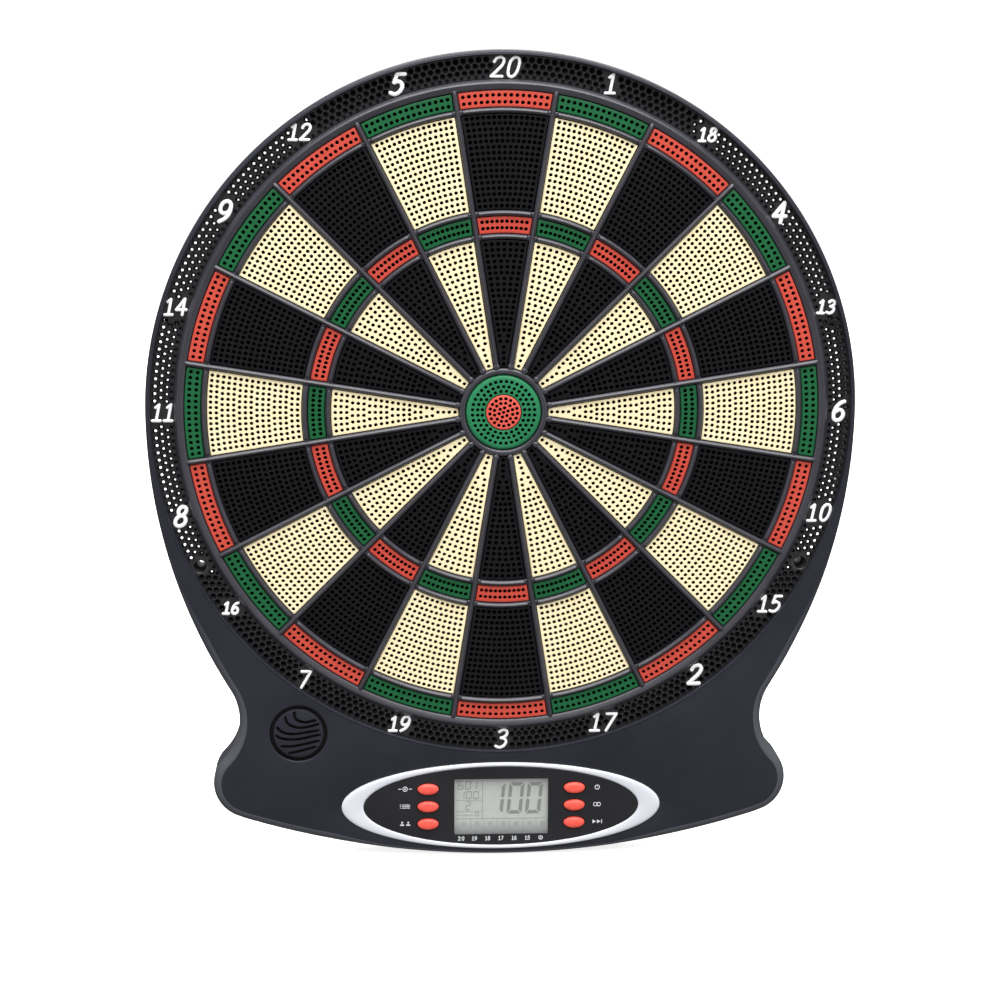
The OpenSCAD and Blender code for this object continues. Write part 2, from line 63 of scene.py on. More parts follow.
def P(x, y, h):
    return (x * 0.001, -h * 0.001, y * 0.001)


class Build:
    def __init__(self):
        self.v, self.f, self.m = [], [], []

    def ring(self, pts, h):
        i = len(self.v)
        self.v += [P(x, y, h) for x, y in pts]
        return list(range(i, i + len(pts)))

    def face(self, idx, mi=0):
        self.f.append(tuple(idx))
        self.m.append(mi)

    def wall(self, a, b, mi=0, flip=False, closed=True):
        n = len(a)
        for k in range(n if closed else n - 1):
            j = (k + 1) % n
            q = (a[k], b[k], b[j], a[j])
            self.face(q[::-1] if flip else q, mi)

    def walls(self, rings, mi=0, flip=False):
        for a, b in zip(rings, rings[1:]):
            self.wall(a, b, mi, flip)

    def cap(self, ring, mi=0, flip=False):
        self.face(ring[::-1] if flip else ring, mi)

    def fill(self, loops, flip=False, concave=(), mi=0):
        """Flat face between rings of vertex numbers: the first is the border, the rest are holes."""
        ids = [i for l in loops for i in l]
        owner = [n for n, l in enumerate(loops) for _ in l]
        pts = [Vector((self.v[i][0] * 1000, self.v[i][2] * 1000)) for i in ids]
        edges, o = [], 0
        for l in loops:
            n = len(l)
            edges += [(o + k, o + (k + 1) % n) for k in range(n)]
            o += n
        vo, _, fo, ov, _, _ = delaunay_2d_cdt(pts, edges, [], 1, 1e-6, True)
        back = [x[0] if x else -1 for x in ov]
        border = np.array([tuple(p) for p in pts[:len(loops[0])]])
        polys = {n: np.array([[self.v[i][0] * 1000, self.v[i][2] * 1000] for i in loops[n]]) for n in concave}
        for t in fo:
            if any(back[i] < 0 for i in t):
                continue
            a, b, c = (back[i] for i in t)
            if owner[a] == owner[b] == owner[c] and owner[a] > 0 and owner[a] not in polys:
                continue
            pa, pb, pc = pts[a], pts[b], pts[c]
            if owner[a] == owner[b] == owner[c] == 0 and not inside(border, (pa.x + pb.x + pc.x) / 3, (pa.y + pb.y + pc.y) / 3):
                continue
            if polys:
                cx, cy = (pa.x + pb.x + pc.x) / 3, (pa.y + pb.y + pc.y) / 3
                if any(inside(poly, cx, cy) for poly in polys.values()):
                    continue
            area = (pb.x - pa.x) * (pc.y - pa.y) - (pc.x - pa.x) * (pb.y - pa.y)
            if abs(area) < 1e-9:
                continue
            tri = (ids[a], ids[b], ids[c])
            if (area < 0) != flip:
                tri = tri[::-1]
            self.face(tri, mi)

    def mesh(self, name, mats, angle=38):
        me = bpy.data.meshes.new(name)
        me.from_pydata(self.v, [], self.f)
        for m in mats:
            me.materials.append(m)
        me.polygons.foreach_set("material_index", self.m)
        me.polygons.foreach_set("use_smooth", [True] * len(self.f))
        me.validate()
        me.set_sharp_from_angle(angle=rad(angle))
        me.update()
        return me

    def obj(self, name, mats, angle=38):
        return link(name, self.mesh(name, mats, angle))


def link(name, me):
    o = bpy.data.objects.new(name, me)
    bpy.context.scene.collection.objects.link(o)
    return o


def inside(poly, x, y):
    x0, y0 = poly[:, 0], poly[:, 1]
    x1, y1 = np.roll(x0, -1), np.roll(y0, -1)
    hit = ((y0 > y) != (y1 > y)) & (x < (x1 - x0) * (y - y0) / (y1 - y0 + 1e-12) + x0)
    return bool(hit.sum() % 2)


def clearance(poly, x, y):
    a = np.array(poly)
    b = np.roll(a, -1, 0)
    p = np.array([x, y])
    d = b - a
    t = np.clip(((p - a) * d).sum(1) / np.maximum((d * d).sum(1), 1e-12), 0, 1)
    q = a + d * t[:, None]
    m = float(np.sqrt(((p - q) ** 2).sum(1)).min())
    return m if inside(a, x, y) else -m


def circle(r, n=64, cx=0.0, cy=0.0, start=0.0):
    return [(cx + r * cos(start + 2 * pi * k / n), cy + r * sin(start + 2 * pi * k / n)) for k in range(n)]


def oval(a, b, cx=0.0, cy=0.0, n=128):
    return [(cx + a * cos(2 * pi * k / n), cy + b * sin(2 * pi * k / n)) for k in range(n)]


def lathe(b, prof, n=96, cx=0.0, cy=0.0, mi=0):
    """Closed ring of revolution: prof runs up the outer side, over the top and down the inner side."""
    rings = [b.ring(circle(r, n, cx, cy), h) for r, h in prof]
    rings = rings[::-1]
    for a, c in zip(rings, rings[1:] + rings[:1]):
        b.wall(a, c, mi)


def perforated(b, loops, holes, mi=0, shade=2, painted_shade_mi=1):
    """Plate whose border runs down loops [(points, height)], then round inside to a ceiling; holes are
    (x, y, [(radius, height)...], sides). A hole ends in the ceiling where there is room, or is blind."""
    rings = [b.ring(p, h) for p, h in loops]
    b.walls(rings, mi)
    top, low = [rings[0]], [rings[-1]]
    ceiling, zc = loops[-1]
    for x, y, prof, n in holes:
        hr = [b.ring(circle(r, n, x, y, pi / n), h) for r, h in prof]
        top.append(hr[0])
        # the first rings of a hole keep the plate material; the rest, and the floor of a blind hole, take the
        # painted-shade material (a dark copy of the plate colour)
        b.walls(hr[:shade], mi, flip=True)
        b.walls(hr[shade - 1:], painted_shade_mi, flip=True)
        if abs(prof[-1][1] - zc) < 1e-6 and (n > 40 or clearance(ceiling, x, y) > prof[-1][0] + 0.2):
            low.append(hr[-1])
        else:
            b.cap(hr[-1], painted_shade_mi)
    b.fill(top, mi=mi)
    b.fill(low, flip=True, mi=mi)


# ---------------------------------------------------------------- materials


def node(nt, kind, **inputs):
    n = nt.nodes.new(kind)
    for k, v in inputs.items():
        n.inputs[k.replace("_", " ")].default_value = v
    return n


def lin(c):
    c = c / 255.0
    return c / 12.92 if c <= 0.04045 else ((c + 0.055) / 1.055) ** 2.4


def rgb(r, g, b):
    return (lin(r), lin(g), lin(b), 1.0)


def material(name, a, b, rough=(0.4, 0.5), scale=60.0, grain=1800.0, bump=0.06, metallic=0.0,
             specular=0.5, coat=0.0, alpha=1.0, streak=None, dirt=None, sheen=0.0):
    """Moulded or painted surface: tone drifts between a and b, roughness and fine grain from noise."""
    m = bpy.data.materials.new(name)
    m.use_nodes = True
    nt = m.node_tree
    nt.nodes.clear()
    out = nt.nodes.new("ShaderNodeOutputMaterial")
    bs = nt.nodes.new("ShaderNodeBsdfPrincipled")
    nt.links.new(bs.outputs[0], out.inputs[0])
    bs.inputs["Metallic"].default_value = metallic
    bs.inputs["Specular IOR Level"].default_value = specular
    bs.inputs["Alpha"].default_value = alpha
    if coat:
        bs.inputs["Coat Weight"].default_value = coat
        bs.inputs["Coat Roughness"].default_value = 0.12
    co = nt.nodes.new("ShaderNodeTexCoord")
    src = co.outputs["Object"]
    if streak:
        mp = nt.nodes.new("ShaderNodeMapping")
        mp.inputs["Scale"].default_value = streak
        nt.links.new(src, mp.inputs["Vector"])
        src = mp.outputs["Vector"]
    n1 = node(nt, "ShaderNodeTexNoise", Scale=scale, Detail=4.0, Roughness=0.55)
    n2 = node(nt, "ShaderNodeTexNoise", Scale=grain, Detail=2.0, Roughness=0.6)
    nt.links.new(src, n1.inputs["Vector"])
    nt.links.new(src, n2.inputs["Vector"])
    ramp = nt.nodes.new("ShaderNodeValToRGB")
    ramp.color_ramp.elements[0].position = 0.35
    ramp.color_ramp.elements[1].position = 0.65
    ramp.color_ramp.elements[0].color = a
    ramp.color_ramp.elements[1].color = b
    nt.links.new(n1.outputs["Fac"], ramp.inputs["Fac"])
    colour = ramp.outputs["Color"]
    if dirt:
        # faint wear: edges a little lighter, from the mesh's own curvature
        ge = nt.nodes.new("ShaderNodeNewGeometry")
        r2 = nt.nodes.new("ShaderNodeValToRGB")
        r2.color_ramp.elements[0].position = 0.5
        r2.color_ramp.elements[1].position = 0.62
        mx = nt.nodes.new("ShaderNodeMix")
        mx.data_type = "RGBA"
        nt.links.new(ge.outputs["Pointiness"], r2.inputs["Fac"])
        nt.links.new(r2.outputs["Color"], mx.inputs[0])
        nt.links.new(colour, mx.inputs[6])
        mx.inputs[7].default_value = dirt
        colour = mx.outputs[2]
    nt.links.new(colour, bs.inputs["Base Color"])
    mr = nt.nodes.new("ShaderNodeMapRange")
    mr.inputs["From Min"].default_value = 0.3
    mr.inputs["From Max"].default_value = 0.7
    mr.inputs["To Min"].default_value = rough[0]
    mr.inputs["To Max"].default_value = rough[1]
    nt.links.new(n2.outputs["Fac"], mr.inputs["Value"])
    nt.links.new(mr.outputs["Result"], bs.inputs["Roughness"])
    if bump:
        bp = nt.nodes.new("ShaderNodeBump")
        bp.inputs["Strength"].default_value = bump
        bp.inputs["Distance"].default_value = 0.0002
        nt.links.new(n2.outputs["Fac"], bp.inputs["Height"])
        nt.links.new(bp.outputs["Normal"], bs.inputs["Normal"])
    m.diffuse_color = a
    return m


CREAM = material("plastic_cream", rgb(248, 232, 188), rgb(250, 237, 196), (0.42, 0.55), bump=0.04, specular=0.3)
BLACK = material("plastic_black_segment", rgb(8, 8, 10), rgb(13, 13, 16), (0.4, 0.52), bump=0.05, specular=0.22)
RED = material("plastic_red", rgb(194, 70, 57), rgb(203, 78, 63), (0.38, 0.5), bump=0.04, specular=0.3)
GREEN = material("plastic_green", rgb(14, 84, 46), rgb(20, 96, 54), (0.38, 0.5), bump=0.04, specular=0.35)
BULL_GREEN = material("plastic_green_bull", rgb(34, 118, 76), rgb(42, 127, 83), (0.38, 0.5), bump=0.04, specular=0.3)
BULL_RED = material("plastic_red_bull", rgb(214, 86, 72), rgb(224, 96, 82), (0.38, 0.5), bump=0.04, specular=0.35)
BODY = material("body_satin_black", rgb(34, 35, 43), rgb(40, 41, 50), (0.42, 0.56), scale=22, bump=0.08, specular=0.26)
# painted shade: dark copies of the plate colours, put on the throats and floors of the dart holes where shade falls
PAINTED_SHADE = {
    CREAM: material("painted_shade_hole_cream", rgb(74, 66, 50), rgb(84, 76, 58), (0.5, 0.6), bump=0.05, specular=0.2),
    BLACK: material("painted_shade_hole_black", rgb(4, 4, 5), rgb(6, 6, 7), (0.5, 0.6), bump=0.05, specular=0.2),
    RED: material("painted_shade_hole_red", rgb(66, 18, 14), rgb(76, 22, 17), (0.5, 0.6), bump=0.05, specular=0.2),
    GREEN: material("painted_shade_hole_green", rgb(9, 34, 20), rgb(11, 40, 24), (0.5, 0.6), bump=0.05, specular=0.2),
    BULL_RED: material("painted_shade_hole_red_bull", rgb(76, 22, 17), rgb(86, 26, 20), (0.5, 0.6), bump=0.05, specular=0.2),
    BULL_GREEN: material("painted_shade_hole_green_bull", rgb(9, 40, 24), rgb(12, 46, 28), (0.5, 0.6), bump=0.05, specular=0.2),
}
# painted reflection: the rounded body edge turns a lighter grey towards the bottom of the board, standing in for the
# bright surroundings reflected there
EDGE_PAINTED_REFLECTION = material("body_edge_painted_reflection", rgb(34, 35, 43), rgb(40, 41, 50), (0.4, 0.52), scale=22, bump=0.06, specular=0.35)
nt_ = EDGE_PAINTED_REFLECTION.node_tree
bs_ = [n for n in nt_.nodes if n.type == "BSDF_PRINCIPLED"][0]
tone = bs_.inputs["Base Color"].links[0].from_socket
co_ = nt_.nodes.new("ShaderNodeTexCoord")
sep_ = nt_.nodes.new("ShaderNodeSeparateXYZ")
mr_ = nt_.nodes.new("ShaderNodeMapRange")
mx_ = nt_.nodes.new("ShaderNodeMix")
mx_.data_type = "RGBA"
mr_.inputs["From Min"].default_value = -0.075
mr_.inputs["From Max"].default_value = -0.15
mx_.inputs[7].default_value = rgb(74, 76, 82)
nt_.links.new(co_.outputs["Object"], sep_.inputs[0])
nt_.links.new(sep_.outputs["Z"], mr_.inputs["Value"])
nt_.links.new(mr_.outputs["Result"], mx_.inputs[0])
nt_.links.new(tone, mx_.inputs[6])
nt_.links.new(mx_.outputs[2], bs_.inputs["Base Color"])
RIB = material("spider_plastic", rgb(46, 45, 52), rgb(54, 53, 61), (0.32, 0.42), bump=0.04, specular=0.6)
MESH = material("catch_ring_plastic", rgb(18, 18, 21), rgb(25, 25, 28), (0.26, 0.36), bump=0.05, specular=0.75)
WHITE = material("numeral_white", rgb(246, 247, 248), rgb(252, 252, 253), (0.35, 0.5), bump=0.02)
TRIM = material("trim_silver", rgb(218, 220, 228), rgb(228, 230, 237), (0.28, 0.4), scale=30, bump=0.03, metallic=0.05, coat=0.2)
PANEL = material("panel_gloss_black", rgb(30, 30, 33), rgb(36, 36, 39), (0.16, 0.24), scale=25, bump=0.015, coat=0.2, specular=0.3)
BUTTON = material("button_red_rubber", rgb(244, 84, 70), rgb(252, 96, 82), (0.42, 0.55), scale=300, bump=0.05)
REAR = material("rear_cover_black", rgb(27, 27, 31), rgb(38, 38, 43), (0.5, 0.66), scale=35, grain=1400, bump=0.25)
DOOR = material("battery_door_black", rgb(31, 31, 35), rgb(40, 40, 45), (0.48, 0.62), scale=45, grain=1400, bump=0.2)
STEEL = material("screw_steel", rgb(150, 152, 156), rgb(188, 190, 194), (0.22, 0.38), scale=700, bump=0.05, metallic=1.0)
LCD_INK = material("lcd_segment", rgb(98, 101, 99), rgb(110, 113, 110), (0.5, 0.6), scale=900, bump=0.0)
LCD_FAINT = material("lcd_rule", rgb(122, 126, 122), rgb(134, 138, 134), (0.5, 0.6), scale=900, bump=0.0)
PRINT = material("panel_print_white", rgb(214, 216, 219), rgb(228, 230, 232), (0.45, 0.55), scale=900, bump=0.0)
PCB = material("circuit_board_green", rgb(14, 74, 38), rgb(20, 92, 50), (0.3, 0.42), scale=120, coat=0.3)
COMP = material("component_black", rgb(22, 22, 24), rgb(34, 34, 36), (0.4, 0.6), scale=500)
RUBBER = material("keypad_rubber", rgb(190, 190, 186), rgb(206, 206, 200), (0.6, 0.75), scale=300, bump=0.1)
ZEBRA = material("contact_strip_rubber", rgb(210, 150, 160), rgb(60, 50, 52), (0.5, 0.6), scale=20, streak=(120, 1, 1))
HOLDER = material("holder_white", rgb(214, 214, 210), rgb(228, 228, 224), (0.4, 0.55), scale=80, bump=0.06)
PAPER = material("speaker_paper", rgb(46, 45, 44), rgb(62, 60, 58), (0.75, 0.9), scale=900, grain=5000, bump=0.5)
WIRE = material("wire_sheath", rgb(150, 24, 22), rgb(172, 34, 30), (0.35, 0.5), scale=400)
CELL = material("battery_cell_jacket", rgb(40, 62, 120), rgb(52, 78, 142), (0.22, 0.34), scale=90, coat=0.4)
NICKEL = material("contact_nickel", rgb(176, 172, 160), rgb(204, 200, 190), (0.2, 0.34), scale=400, metallic=1.0)
BACKING = material("backing_board", rgb(120, 92, 60), rgb(142, 112, 76), (0.7, 0.85), scale=140, grain=2600, bump=0.3)
MAT = material("silicone_mat", rgb(150, 152, 154), rgb(166, 168, 170), (0.5, 0.65), scale=120, bump=0.1)
FILM = material("sensor_film", rgb(196, 190, 150), rgb(214, 208, 168), (0.2, 0.34), scale=60, streak=(8, 1, 1), coat=0.3)
GLASS = material("window_clear", rgb(226, 230, 228), rgb(234, 238, 236), (0.05, 0.09), scale=30, bump=0.0, alpha=0.10)


def lcd_material():
    m = material("lcd_glass", rgb(184, 187, 182), rgb(190, 194, 188), (0.25, 0.34), scale=300, bump=0.0)
    nt = m.node_tree
    bs = [n for n in nt.nodes if n.type == "BSDF_PRINCIPLED"][0]
    ramp0 = bs.inputs["Base Color"].links[0].from_socket
    co = nt.nodes.new("ShaderNodeTexCoord")
    sep = nt.nodes.new("ShaderNodeSeparateXYZ")
    nt.links.new(co.outputs["Object"], sep.inputs[0])
    # painted shade: the display glass is coloured darker towards its bottom edge, standing in for the shadow in the
    # recess
    mr = nt.nodes.new("ShaderNodeMapRange")
    mr.inputs["From Min"].default_value = -0.2374
    mr.inputs["From Max"].default_value = -0.2290
    nt.links.new(sep.outputs["Z"], mr.inputs["Value"])
    mx = nt.nodes.new("ShaderNodeMix")
    mx.data_type = "RGBA"
    mx.inputs[6].default_value = rgb(104, 107, 108)
    nt.links.new(mr.outputs["Result"], mx.inputs[0])
    nt.links.new(ramp0, mx.inputs[7])
    nt.links.new(mx.outputs[2], bs.inputs["Base Color"])
    return m


LCD = lcd_material()


def paint(name, m):
    me = N[name].data
    me.materials.clear()
    me.materials.append(m)


for name, m in (("rear_cover", REAR), ("battery_door", DOOR), ("rear_screws", STEEL), ("board_screws", STEEL),
                ("lcd_window", GLASS), ("lcd_glass", LCD), ("lcd_holder", HOLDER), ("lcd_contact_strips", ZEBRA),
                ("keypad_mats", RUBBER), ("main_board", PCB), ("board_components", COMP),
                ("speaker_driver", STEEL), ("speaker_cone", PAPER), ("speaker_retainer", COMP),
                ("speaker_wires", WIRE), ("battery_cells", CELL), ("battery_contacts", NICKEL),
                ("battery_wires", WIRE), ("backing_plate", BACKING), ("silicone_mat", MAT), ("sensor_film", FILM)):
    paint(name, m)

# ---------------------------------------------------------------- sizes, mm
BODY_R = 191.3
FACE = 24.5
PANEL_Y, WINDOW_Y, BUTTON_Y = -219.9, -220.4, -220.0
SPK = (-111.5, -177.5)
SCREW = (163.5, -84.0)
RA, RB, RC = 94.05, 106.4, 159.95
NUMBERS = (20, 1, 18, 4, 13, 6, 10, 15, 2, 17, 3, 19, 7, 16, 8, 11, 14, 9, 12, 5)
DARK = {20, 18, 13, 10, 2, 3, 7, 8, 14, 12}

# ---------------------------------------------------------------- scoring segments


def wedge(r0, r1, e, n0, n1):
    p, q = rad(9) - math.asin(e / r0), rad(9) - math.asin(e / r1)
    return [(r0 * sin(-p + 2 * p * k / n0), r0 * cos(-p + 2 * p * k / n0)) for k in range(n0 + 1)] + \
           [(r1 * sin(q - 2 * q * k / n1), r1 * cos(q - 2 * q * k / n1)) for k in range(n1 + 1)]


def row(r, n, margin):
    if n == 1:
        return [(0.0, r)]
    q = rad(9) - math.asin((1.75 + margin) / r)
    return [(r * sin(-q + 2 * q * k / (n - 1)), r * cos(-q + 2 * q * k / (n - 1))) for k in range(n)]


def segment(name, r0, r1, centres, hollow=None, steps=(10, 14)):
    b = Build()
    loops = []
    for i, h in ((0.5, 24.0), (0.24, 23.93), (0.07, 23.75), (0.0, 23.45), (0.0, 13.4), (-1.3, 13.4), (-1.3, 11.9)):
        loops.append((wedge(r0 + i, r1 - i, 1.75 + i, *steps), h))
    for h in (11.9, 18.0):
        loops.append((wedge(hollow or r0 + 1.6, r1 - 1.6, 3.35, *steps), h))
    holes = [(x, y, ((1.14, 24.0), (1.0, 23.75), (0.96, 22.9), (0.95, 18.0)), 10) for x, y in centres]
    # the mouth of a hole keeps the plate colour; its throat is painted a dark copy of the plate colour, painted shade
    # standing in for the shadow down the hole
    perforated(b, loops, holes, shade=3)
    return b


inner_counts = (1, 1, 1, 1, 2, 2, 3, 3, 4, 4, 4, 4, 5, 5, 5, 5, 6, 6, 6, 7, 7, 7)
inner_rows = [p for k, n in enumerate(inner_counts) for p in row(26.0 + 3.05 * k, n, 2.35)]
outer_rows = [p for k in range(16) for p in row(110.15 + 3.08 * k, round(10 + k / 3.0), 2.45)]
triple_rows = [p for r in (98.5, 101.95) for p in row(r, 10, 2.35)]
double_rows = [p for r in (164.15, 167.75) for p in row(r, 15, 2.3)]
shapes = {
    "inner_single": segment("inner_single", 24.2, RA - 1.75, inner_rows, hollow=42),
    "triple": segment("triple", RA + 1.75, RB - 1.75, triple_rows),
    "outer_single": segment("outer_single", RB + 1.75, RC - 1.75, outer_rows),
    "double": segment("double", RC + 1.75, 170.2, double_rows),
}
meshes = {}
for key, b in shapes.items():
    for dark in (0, 1):
        m = (BLACK if dark else CREAM) if "single" in key else (RED if dark else GREEN)
        meshes[key, dark] = b.mesh(f"{key}_{'dark' if dark else 'light'}", [m, PAINTED_SHADE[m]])
for k, num in enumerate(NUMBERS):
    dark = 1 if num in DARK else 0
    for key in shapes:
        o = link(f"number_{num:02d}_{key}", meshes[key, dark])
        o.matrix_world = Matrix.Rotation(rad(18 * k), 4, "Y")
        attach(o, f"number_{num:02d}")
        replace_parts(o, f"segments_{num:02d}")
        ({"BLACK": "single_black", "CREAM": "single_cream", "RED": "score_red", "GREEN": "score_green"}[
            ("BLACK" if dark else "CREAM") if "single" in key else ("RED" if dark else "GREEN")])

b = Build()
ob_holes = [(0.0, 0.0, ((10.15, 25.2), (9.85, 25.05), (9.75, 24.7), (9.75, 14.7)), 64)]
for r, n in ((16.75, 36), (13.95, 30), (11.45, 24)):
    ob_holes += [(x, y, ((1.04, 25.2), (0.9, 24.9), (0.88, 14.7)), 10) for x, y in circle(r, n, 0, 0, pi / n)]
perforated(b, [(circle(r, 96), h) for r, h in ((18.0, 25.2), (18.8, 25.12), (19.5, 24.85), (20.0, 24.35), (20.2, 23.7),
                                                 (20.2, 13.4), (22.0, 13.4), (22.0, 11.9), (18.6, 11.9), (18.6, 14.7))], ob_holes)
o = b.obj("outer_bull_plate", [BULL_GREEN, PAINTED_SHADE[BULL_GREEN]])
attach(o, "outer_bull_piece"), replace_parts(o, "outer_bull"), o
b = Build()
ib_holes = [(0.0, 0.0, ((1.04, 25.2), (0.9, 24.9), (0.88, 17.0)), 10)]
for r, n in ((2.5, 6), (5.0, 12), (7.4, 17)):
    ib_holes += [(x, y, ((1.04, 25.2), (0.9, 24.9), (0.88, 17.0)), 10) for x, y in circle(r, n, 0, 0, 0.3)]
perforated(b, [(circle(r, 72), h) for r, h in ((8.85, 25.2), (9.15, 25.12), (9.34, 24.92), (9.4, 24.6), (9.4, 13.1), (12.4, 13.1),
                                                 (12.4, 11.9))], ib_holes)
o = b.obj("inner_bull_plate", [BULL_RED, PAINTED_SHADE[BULL_RED]])
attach(o, "inner_bull_piece"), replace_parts(o, "inner_bull"), o

# ---------------------------------------------------------------- spider
b = Build()
crest = ((1.4, 24.0), (1.36, 24.55), (1.2, 24.9), (0.45, 25.6), (0.2, 25.75), (0.0, 25.8))
for r in (RA, RB, RC):
    lathe(b, [(r + 1.4, 13.7), (r + 1.4, 24.0), (r + 1.1, 24.3), (r - 1.1, 24.3), (r - 1.4, 24.0), (r - 1.4, 13.7)], 180)
lathe(b, [(23.85, 13.7), (23.85, 24.3), (23.5, 25.0), (22.9, 25.35), (21.6, 25.4), (20.95, 25.1), (20.55, 24.5), (20.55, 13.7)], 96)
lathe(b, [(175.9, 13.7), (175.9, 22.9), (175.7, 23.4), (174.4, 24.9), (174.0, 25.25), (173.6, 25.4), (173.1, 25.3), (171.2, 24.65),
          (170.75, 24.4), (170.55, 24.0), (170.55, 13.7)], 360)


def section_sweep(b, stations, bottom):
    """stations: [(origin, side direction, width factor, height factor)]; the section is the rib crest."""
    rings = []
    for (x, y), (sx, sy), wf, hf in stations:
        pts = []
        prof = [(u, h) for u, h in crest] + [(-u, h) for u, h in crest[-2::-1]]
        prof = [(1.4, bottom)] + prof + [(-1.4, bottom)]
        for u, h in prof:
            z = bottom if h == bottom else 24.0 + (h - 24.0) * hf - (0 if hf > 0.999 else (1 - hf) * 0.15)
            pts.append(P(x + sx * u * wf, y + sy * u * wf, z))
        i = len(b.v)
        b.v += pts
        rings.append(list(range(i, i + len(pts))))
    for r0, r1 in zip(rings, rings[1:]):
        n = len(r0)
        for k in range(n):
            j = (k + 1) % n
            b.face((r0[k], r1[k], r1[j], r0[j]))
    b.face(rings[0])
    b.face(rings[-1][::-1])


for k in range(20):
    a = rad(9 + 18 * k)
    d, s = (sin(a), cos(a)), (cos(a), -sin(a))
    st = [((d[0] * r, d[1] * r), s, wf, hf) for r, wf, hf in
          ((22.6, 0.8, 0.5), (23.4, 0.94, 0.85), (24.4, 1, 0.99), (60, 1, 0.99), (110, 1, 0.99), (150, 1, 0.99), (169.0, 1, 0.99),
           (170.6, 1, 0.9), (171.8, 1, 0.55), (172.6, 1, 0.3))]
    section_sweep(b, st, 13.75)
    for r in (RA, RB, RC):
        q = rad(9) - math.asin(2.15 / r)
        mid = rad(18 * k)
        st = []
        for t in (0, 0.25, 0.5, 0.8, 1.2):
            f = math.sqrt(max(0.0, 1 - (1 - t / 1.2) ** 2))
            st.append((-q + t / r, 0.55 + 0.45 * f, 0.05 + 0.93 * f))
        arc = st + [(-q + 1.2 / r + (2 * q - 2.4 / r) * j / 12, 1.0, 0.98) for j in range(1, 12)] + [(-p, w, h) for p, w, h in st[::-1]]
        section_sweep(b, [((r * sin(mid + p), r * cos(mid + p)), (-sin(mid + p), -cos(mid + p)), w, h) for p, w, h in arc], 23.6)
    # small cap where the rib meets the collar
    lathe_pts = [(1.75, 23.2), (1.75, 24.9), (1.45, 25.45), (0.8, 25.72), (0.02, 25.78)]
    rings = [b.ring(circle(rr, 20, d[0] * 24.9, d[1] * 24.9), h) for rr, h in lathe_pts[::-1]]
    b.walls(rings)
    b.cap(rings[0])
    b.cap(rings[-1], flip=True)
o = b.obj("spider_moulding", [RIB], 50)
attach(o, "board"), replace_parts(o, "spider_grid"), o

# ---------------------------------------------------------------- numerals
C = {
    "0": [("c", [(0.10, 0.50), (0.13, 0.76), (0.24, 0.94), (0.38, 1.0), (0.52, 0.93), (0.60, 0.74), (0.60, 0.50), (0.55, 0.24),
                 (0.44, 0.06), (0.31, 0.0), (0.18, 0.07), (0.11, 0.26)])],
    "1": [("l", [(0.12, 0.82), (0.30, 0.98)]), ("l", [(0.30, 0.98), (0.30, 0.02)]), ("l", [(0.06, 0.01), (0.54, 0.01)])],
    "2": [("s", [(0.08, 0.76), (0.15, 0.92), (0.32, 1.0), (0.50, 0.94), (0.57, 0.77), (0.50, 0.56), (0.30, 0.30), (0.06, 0.02)]),
          ("l", [(0.06, 0.02), (0.62, 0.02)])],
    "3": [("s", [(0.10, 0.88), (0.28, 1.0), (0.48, 0.94), (0.54, 0.77), (0.44, 0.60), (0.26, 0.54)]),
          ("s", [(0.26, 0.54), (0.48, 0.48), (0.58, 0.30), (0.50, 0.10), (0.30, 0.0), (0.08, 0.07)])],
    "4": [("l", [(0.46, 1.0), (0.04, 0.32)]), ("l", [(0.04, 0.32), (0.66, 0.32)]), ("l", [(0.46, 1.0), (0.46, 0.0)])],
    "5": [("l", [(0.60, 0.98), (0.22, 0.98)]), ("l", [(0.22, 0.98), (0.15, 0.56)]),
          ("s", [(0.15, 0.56), (0.34, 0.62), (0.52, 0.54), (0.59, 0.34), (0.50, 0.12), (0.30, 0.0), (0.07, 0.06)])],
    "6": [("s", [(0.50, 0.98), (0.28, 0.86), (0.13, 0.62), (0.09, 0.34), (0.16, 0.09), (0.34, 0.0), (0.52, 0.09), (0.58, 0.31),
                 (0.48, 0.50), (0.31, 0.55), (0.14, 0.44)])],
    "7": [("l", [(0.08, 0.98), (0.62, 0.98)]), ("l", [(0.62, 0.98), (0.24, 0.0)])],
    "8": [("c", [(0.34, 1.0), (0.50, 0.93), (0.53, 0.77), (0.45, 0.61), (0.34, 0.54), (0.20, 0.61), (0.15, 0.77), (0.20, 0.93)]),
          ("c", [(0.33, 0.54), (0.52, 0.45), (0.59, 0.27), (0.51, 0.08), (0.32, 0.0), (0.13, 0.08), (0.08, 0.27), (0.16, 0.45)])],
    "9": [("c", [(0.36, 1.0), (0.54, 0.91), (0.60, 0.70), (0.52, 0.49), (0.34, 0.40), (0.15, 0.48), (0.09, 0.68), (0.17, 0.91)]),
          ("s", [(0.60, 0.70), (0.57, 0.42), (0.42, 0.17), (0.14, 0.0)])],
}


def spline(pts, closed, n=7):
    out, m = [], len(pts)
    for k in range(m if closed else m - 1):
        p = [pts[(k + d) % m] if closed else pts[min(max(k + d, 0), m - 1)] for d in (-1, 0, 1, 2)]
        for j in range(n):
            t = j / n
            out.append(tuple(0.5 * (2 * p[1][i] + (p[2][i] - p[0][i]) * t + (2 * p[0][i] - 5 * p[1][i] + 4 * p[2][i] - p[3][i]) * t * t
                                    + (3 * p[1][i] - p[0][i] - 3 * p[2][i] + p[3][i]) * t ** 3) for i in (0, 1)))
    return out if closed else out + [pts[-1]]


